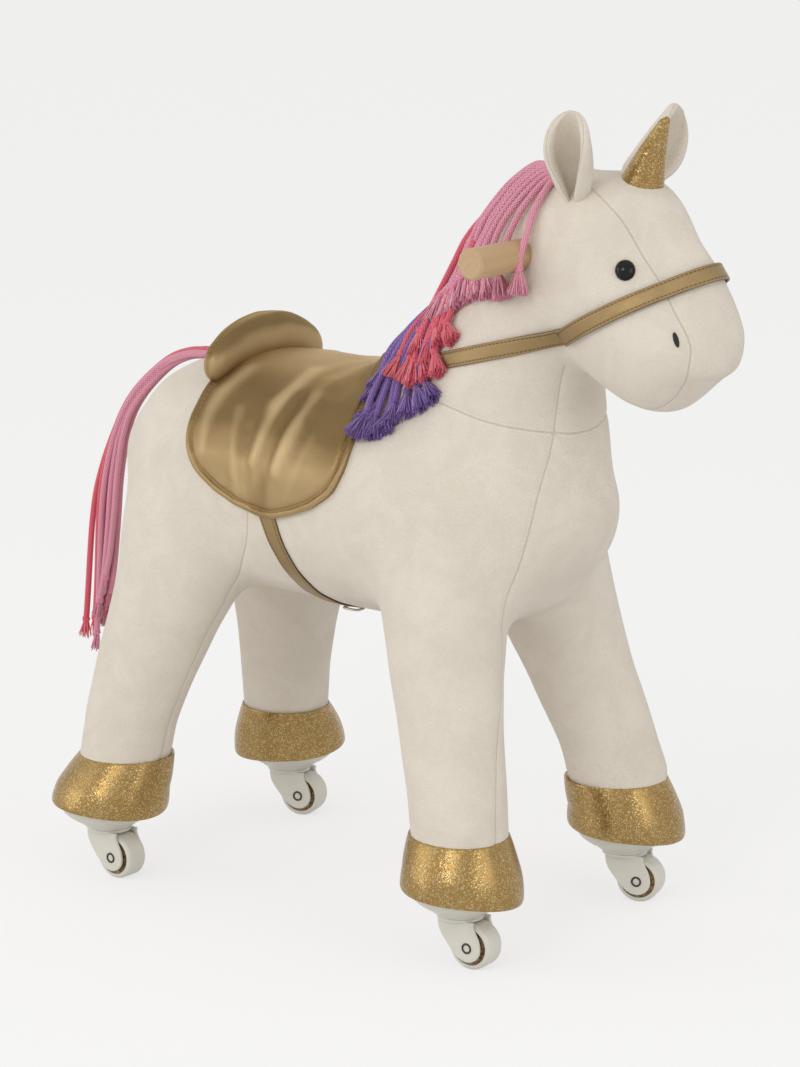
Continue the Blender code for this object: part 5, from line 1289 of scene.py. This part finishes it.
def braided_cord(name, line, yarn):
    """A cord along a line, with how far round and along it each face corner lies."""
    rings = tube_rings(line, [cord_width / 2] * len(line), cord_sides)
    made = ringed(name, rings, cord_finishes[yarn])
    travel = travel_along(line)
    round_share = []
    far = []
    for start, end in zip(travel, travel[1:]):
        for side in range(cord_sides):
            here, after = side / cord_sides, (side + 1) / cord_sides
            round_share.extend((here, after, after, here))
            far.extend((start, start, end, end))
    caps = [0.0] * (2 * cord_sides)
    give_values(made, "around", round_share + caps, "CORNER")
    give_values(made, "along", far + caps, "CORNER")
    return made


def tassel(name, root, tip, yarn, seed, fibres=130, spread=0.0078):
    """A knot at the root and loose fibres that open out from it towards the tip."""
    random_places = np.random.RandomState(seed)
    root = np.array(root)
    way = np.array(tip) - root
    length = min(float(np.linalg.norm(way)), tassel_length)
    way /= np.linalg.norm(way)
    side = np.cross(way, (0.2, 0.9, 0.3))
    side /= np.linalg.norm(side)
    up = np.cross(way, side)
    points = []
    faces = []
    tones = []

    def add_tube(line, radii, sides, tone):
        rings = tube_rings(line, radii, sides)
        first = len(points)
        points.extend(np.concatenate(rings))
        tones.extend([tone] * (len(points) - first))
        faces.extend(tuple(first + index for index in face) for face in ring_faces(rings))

    turns = np.linspace(0, 2 * math.pi * coil_turns, 26)[:, None]
    coil = root + way * (coil_height * (turns / turns[-1] - 0.5))
    coil = coil + coil_radius * (side * np.cos(turns) + up * np.sin(turns))
    coil_radii = np.interp(np.arange(26), (0, 3, 22, 25), (0.0007, 0.0018, 0.0018, 0.0007))
    add_tube(coil, coil_radii, 10, 0.35)
    shares = np.linspace(0, 1, 6)
    core = root + way * (length * 0.72 * shares[:, None])
    # The core, inside the fibres, is painted darkest as shade
    add_tube(core, np.interp(shares, (0, 0.3, 0.7, 1.0), (0.0016, 0.0024, 0.0024, 0.0008)), 8, 0.0)
    for _ in range(fibres):
        angle = 2 * math.pi * random_places.rand()
        outward = math.sqrt(0.10 + 0.90 * random_places.rand())
        reach = length * (0.88 + 0.14 * random_places.rand()) * (1 - 0.06 * outward**2)
        drift = random_places.normal(0, 0.0011, 2)
        curl = 0.0005 * random_places.normal(0, 1, 2)
        line = []
        for share in shares:
            opened = outward * (0.0015 + (spread - 0.0015) * share**0.9)
            off = opened * np.array((math.cos(angle), math.sin(angle)))
            off = off + drift * share**1.5 + curl * math.sin(3.0 * share)
            line.append(root + way * (reach * share) + side * off[0] + up * off[1])
        radii = np.interp(shares, (0, 0.75, 1.0), (0.00062, 0.00055, 0.00042))
        # Each fibre's tone is random, and painted darker the further in it lies, as shade
        add_tube(np.array(line), radii, 3, (0.30 + 0.70 * random_places.rand()) * outward)
    made = piece(name, points, faces, tassel_finishes[yarn])
    give_values(made, "tone", tones)
    return made


def drawn_out(spot, lift):
    """A spot in the mane, lifted off it towards the camera, which is ahead and to the right."""
    spot = Vector([number / 1000 for number in spot])
    return spot + (camera_spot - spot).normalized() * lift


for yarn, routes, lift in mane_layers:
    for index, route in enumerate(routes):
        lifts = np.linspace(0, lift, len(route) - 1)
        raised = [drawn_out(spot, float(amount)) for spot, amount in zip(route, lifts)]
        if yarn == "pink":
            raised.insert(0, raised[0] + pink_root)
        line = smooth_line(raised, 0.0016)
        least = np.linspace(0.0030, lift, len(line))
        # The root stays where it is sewn in
        least[0] = -1
        for _ in range(4):
            lift_off_skin(line, least)
            even_out(line)
        strand_name = f"mane_{yarn}_{index + 1}"
        strand = braided_cord(strand_name, line, yarn)
        tip = drawn_out(route[-1], lift + 0.003)
        fray = tassel(strand_name + "_tassel", line[-1], tip, yarn, 10 * index + len(yarn))
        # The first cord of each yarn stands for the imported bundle
        if index == 0:
            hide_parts("mane_" + yarn)

# The tail: nine longer cords of the same braid, sewn together at the top of the rump. They arch
# out behind it and hang free, the coral ones outermost, and each ends in a knot and a short fray.
# The line that the outermost cord follows, and that of the cord nearest the rump, in millimetres
tail_outer = (
    (-184, -8, 425), (-205, -8, 439), (-228.7, -9, 441.4), (-246.1, -10, 438.7),
    (-265.6, -10, 431.2), (-285.4, -10, 417.8), (-305.4, -10, 400.1), (-321.8, -10, 379),
    (-336.3, -10, 351.9), (-347, -10, 326.7), (-354.8, -10, 301.6), (-359.5, -10, 273.9),
    (-362.5, -10, 243.5), (-365.5, -10, 209.6), (-368.5, -10, 183),
)
tail_inner = (
    (-184, -6, 423), (-205, -6, 436), (-230.8, -8, 436.8), (-250.2, -10, 430.2),
    (-265.8, -10, 421.1), (-281.6, -10, 407.4), (-295.7, -10, 392.5), (-307.9, -10, 374.8),
    (-315.5, -10, 354.6), (-320.4, -10, 330.3), (-323.7, -10, 306), (-326.1, -10, 278.8),
    (-329.1, -10, 253.2), (-332.6, -10, 228.3), (-338, -10, 204.8),
)
# Yarn, how far in from the outermost line at the root and at the end, sideways shift and length
tail_strands = (
    ("coral", 0.00, 0.00, 0.0000, 1.0), ("coral", 0.18, 0.24, -0.0010, 1.01),
    ("coral", 0.34, 0.62, 0.0060, 0.99), ("coral", 0.10, 0.40, 0.0070, 0.95),
    ("pink", 0.40, 0.44, -0.0060, 1.08), ("pink", 0.66, 0.68, -0.0070, 0.97),
    ("pink", 0.95, 0.98, -0.0060, 0.90), ("pink", 0.52, 0.55, 0.0010, 1.0),
    ("pink", 0.80, 0.84, 0.0015, 0.95),
)
fray_length = 0.017
for index, (yarn, root_share, end_share, shift, length_share) in enumerate(tail_strands):
    share = np.linspace(0, 1, len(tail_outer))
    inward = (root_share + (end_share - root_share) * share)[:, None]
    route = (np.array(tail_outer) * (1 - inward) + np.array(tail_inner) * inward) / 1000
    root_z = tail_outer[0][2] / 1000
    route[:, 0] += 0.0016 * np.sin(1.9 * index + 5.5 * share) * share
    route[:, 1] += shift + 0.0016 * np.sin(2.3 * index + 4.5 * share)
    route[:, 2] = root_z + (route[:, 2] - root_z) * (1 + (length_share - 1) * share)
    line = smooth_line(route, 0.0022)
    # The root is sewn in, so that only the points beyond it are held off the skin
    lift_off_skin(line, 0.0028 - 0.0100 * np.clip(1 - np.arange(len(line)) / 12, 0, 1))
    strand_name = f"tail_{yarn}_{index + 1}"
    strand = braided_cord(strand_name, line, yarn)
    way = line[-1] - line[-6]
    tip = line[-1] + way / np.linalg.norm(way) * fray_length
    fray = tassel(strand_name + "_fray", line[-1], tip, yarn, 200 + index, fibres=26, spread=0.0042)
    if strand_name in ("tail_coral_1", "tail_pink_5"):
        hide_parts("tail_" + yarn)

# The casters: a shallow moulded dish under each hoof, and below it a twin-ear fork that swivels on
# a steel pin. The wheel runs between the ears on a hollow rivet and has a sunk hub, whose recess
# holds a thin brown sheet of painted shade.
wheel_radius = 0.019
wheel_half = 0.0105
wheel_edge = 0.0036
wheel_rim = 0.0150
hub_radius = 0.0075
recess = 0.0030
ear_inner = 0.0111
ear_outer = 0.0141
axle_radius = 0.0045
pin_bore = 0.0043
dish_bottom = 0.0425
crown_edge = 0.0183
crown_top = 0.0422
crown_under = 0.0396
crown_round = 0.0007
# The ear's side view, from the crown down its heel, round the axle and up its throat
ear_outline = (
    (-0.0130, 0.0409), (-0.0129, 0.0370), (-0.0122, 0.0330), (-0.0106, 0.0290), (-0.0083, 0.0256),
    (-0.0044, 0.0206), (0.0002, 0.0152), (0.0050, 0.0106), (0.0098, 0.0080), (0.0146, 0.0072),
    (0.0194, 0.0082), (0.0234, 0.0110), (0.0259, 0.0152), (0.0264, 0.0196), (0.0257, 0.0242),
    (0.0241, 0.0286), (0.0219, 0.0324), (0.0204, 0.0358), (0.0200, 0.0384), (0.0206, 0.0409),
)

plastic = mottled(
    "cream_plastic", 0.42, 0.0, 60.0, (0.66, 0.64, 0.57), (0.76, 0.745, 0.68), change=(0.2, 0.32)
)
plastic.feed(Normal=plastic.bump(plastic.noise(2600.0, 2.0), 0.0001, 0.4))
dark_steel = mottled(
    "dark_steel", 0.4, 1.0, 700.0, (0.035, 0.03, 0.026), (0.11, 0.095, 0.08), change=(0.3, 0.25)
)
# A thin brown-speckled sheet on the floor of each wheel's recess, painted dark as the recess's shade
recess_shade = Finish("hub_recess_shade", 0.5, 0.3)
recess_shade_field = recess_shade.noise(420.0, 4.0)
recess_shade_share = recess_shade.ramp(recess_shade_field, 0.35, 0.72)
recess_shade.feed(Base_Color=recess_shade.mix(recess_shade_share, (0.13, 0.065, 0.022), (0.48, 0.34, 0.17)))
recess_shade.feed(Normal=recess_shade.bump(recess_shade_field, 0.0003, 0.5))


def spun(profile, sides, place):
    """Rings from (radius, height) points, spun about an axis."""
    rings = []
    for radius, height in profile:
        ring = [(radius * math.cos(angle), radius * math.sin(angle), height) for angle in around(sides)]
        rings.append([place @ Vector(point) for point in ring])
    return rings


def turned(name, profile, sides, place, finish, body):
    """A turned piece: the outline of its half section, spun about an axis."""
    made = ringed(name, spun(profile, sides, place), finish, body, loop=True)
    made.data.set_sharp_from_angle(angle=math.radians(32))
    return made


def rounded(middle_radius, middle_height, size, start, stop, steps):
    """Points of a round corner on a half section, between two angles in degrees."""
    angles = [math.radians(start + (stop - start) * step / steps) for step in range(steps + 1)]
    return [(middle_radius + size * math.cos(a), middle_height + size * math.sin(a)) for a in angles]


def both_ways(half_section):
    """A half section from its one end to its middle, and mirrored on to the other end."""
    return half_section + [(radius, -height) for radius, height in reversed(half_section)]


bowl = [
    (pin_bore, dish_bottom), (0.0192, dish_bottom),
    *rounded(0.0192, dish_bottom + 0.0008, 0.0008, -90, -40, 3),
    (0.0263, 0.0478), (0.0312, 0.0505), (0.0356, 0.0535), (0.0388, 0.0566),
    *rounded(0.0402, 0.0607, 0.0008, -20, 90, 5),
    (0.0083, 0.0615), (0.0083, 0.0830), (pin_bore, 0.0830),
]
crown = [
    (pin_bore, crown_top), *rounded(crown_edge, crown_top - crown_round, crown_round, 90, 0, 4),
    *rounded(crown_edge, crown_under + crown_round, crown_round, 0, -90, 4), (pin_bore, crown_under),
]
hub_floor = wheel_half - recess
wheel_section = both_ways([
    (axle_radius + 0.0003, wheel_half), (hub_radius - 0.0004, wheel_half),
    (hub_radius, wheel_half - 0.0004), (hub_radius, hub_floor), (wheel_rim, hub_floor),
    (wheel_rim, wheel_half - 0.0004), (wheel_rim + 0.0003, wheel_half),
    *rounded(wheel_radius - wheel_edge, wheel_half - wheel_edge, wheel_edge, 90, 0, 10),
])
recess_sheet = [
    (hub_radius + 0.0002, hub_floor + 0.0001), (hub_radius + 0.0002, hub_floor + 0.0010),
    (0.0098, hub_floor + 0.0014), (0.0128, hub_floor + 0.0010),
    (wheel_rim - 0.0003, hub_floor + 0.0016), (wheel_rim - 0.0003, hub_floor + 0.0001),
]
rolled = ear_outer + 0.0002
rivet_end = [(0.0029, rolled - 0.0012), *rounded(0.0037, rolled, 0.0008, 180, 0, 6)]
rivet = both_ways([*rivet_end, (axle_radius, rolled - 0.0006)])
outline = smooth_line([(along, height, 0) for along, height in ear_outline], 0.0011)

joints = {joint["name"]: joint for joint in frame["record"]["behaviour"]["joints"]}
for corner in corners:
    swivel_x, swivel_y, _ = joints[corner + "_swivel"]["pos_m"]
    roll_way = joints[corner + "_roll"]["axis"]
    heading = Matrix.Rotation(math.atan2(-roll_way[0], roll_way[1]), 4, "Z")
    upright = Matrix.Translation((swivel_x, swivel_y, 0))
    on_fork = upright @ heading
    to_axle = Matrix.Translation(joints[corner + "_roll"]["pos_m"])
    on_axle = to_axle @ heading @ Matrix.Rotation(-math.pi / 2, 4, "X")
    swivel_body = "swivel_" + corner
    roller_body = "roller_" + corner

    dish = turned("base_dish_" + corner, bowl, 72, upright, plastic, "animal")
    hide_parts("dish_" + corner)

    crown_rings = spun(crown, 60, on_fork)
    points = [point for ring in crown_rings for point in ring]
    faces = ring_faces(crown_rings, loop=True)
    size = len(outline)
    for hand in (-1, 1):
        first = len(points)
        for place_y in (hand * ear_inner, hand * ear_outer):
            points.extend(on_fork @ Vector((along, place_y, height)) for along, height, _ in outline)
        near = range(first, first + size)
        far = range(first + size, first + 2 * size)
        ear_faces = [tuple(near), tuple(reversed(far))]
        for index in range(size):
            after = (index + 1) % size
            ear_faces.append((near[index], far[index], far[after], near[after]))
        faces.extend(ear_faces if hand > 0 else [tuple(reversed(face)) for face in ear_faces])
    fork = piece("twin_fork_" + corner, points, faces, plastic, swivel_body)
    fork.data.set_sharp_from_angle(angle=math.radians(35))
    round_off(fork, 0.0009)
    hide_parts("fork_" + corner)

    wheel_name = "roller_wheel_" + corner
    wheel = turned(wheel_name, wheel_section, 96, on_axle, plastic, roller_body)
    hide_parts("wheel_" + corner)
    for side_name, hand in (("right", -1), ("left", 1)):
        recess_sheet_name = f"hub_recess_sheet_{corner}_{side_name}"
        section = [(radius, hand * height) for radius, height in recess_sheet]
        turned(recess_sheet_name, section, 60, on_axle, recess_shade, roller_body)

    axle = turned("rivet_" + corner, rivet, 48, on_axle, dark_steel, swivel_body)
    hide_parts("axle_" + corner)
    pin = frame["nodes"]["stem_" + corner]
    pin.data.materials.clear()
    pin.data.materials.append(dark_steel.surface)

# The frame inside: bare welded steel tube from hoof to hoof, with a solid post up to the handle.
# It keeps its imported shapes, since the plush covers all of it.
steel = mottled(
    "frame_steel", 0.45, 0.9, 90.0, (0.20, 0.20, 0.205), (0.34, 0.335, 0.33),
    detail=5.0, change=(0.25, 0.3),
)
for node_name in frame_nodes:
    bare = frame["nodes"][node_name]
    bare.data.materials.clear()
    bare.data.materials.append(steel.surface)
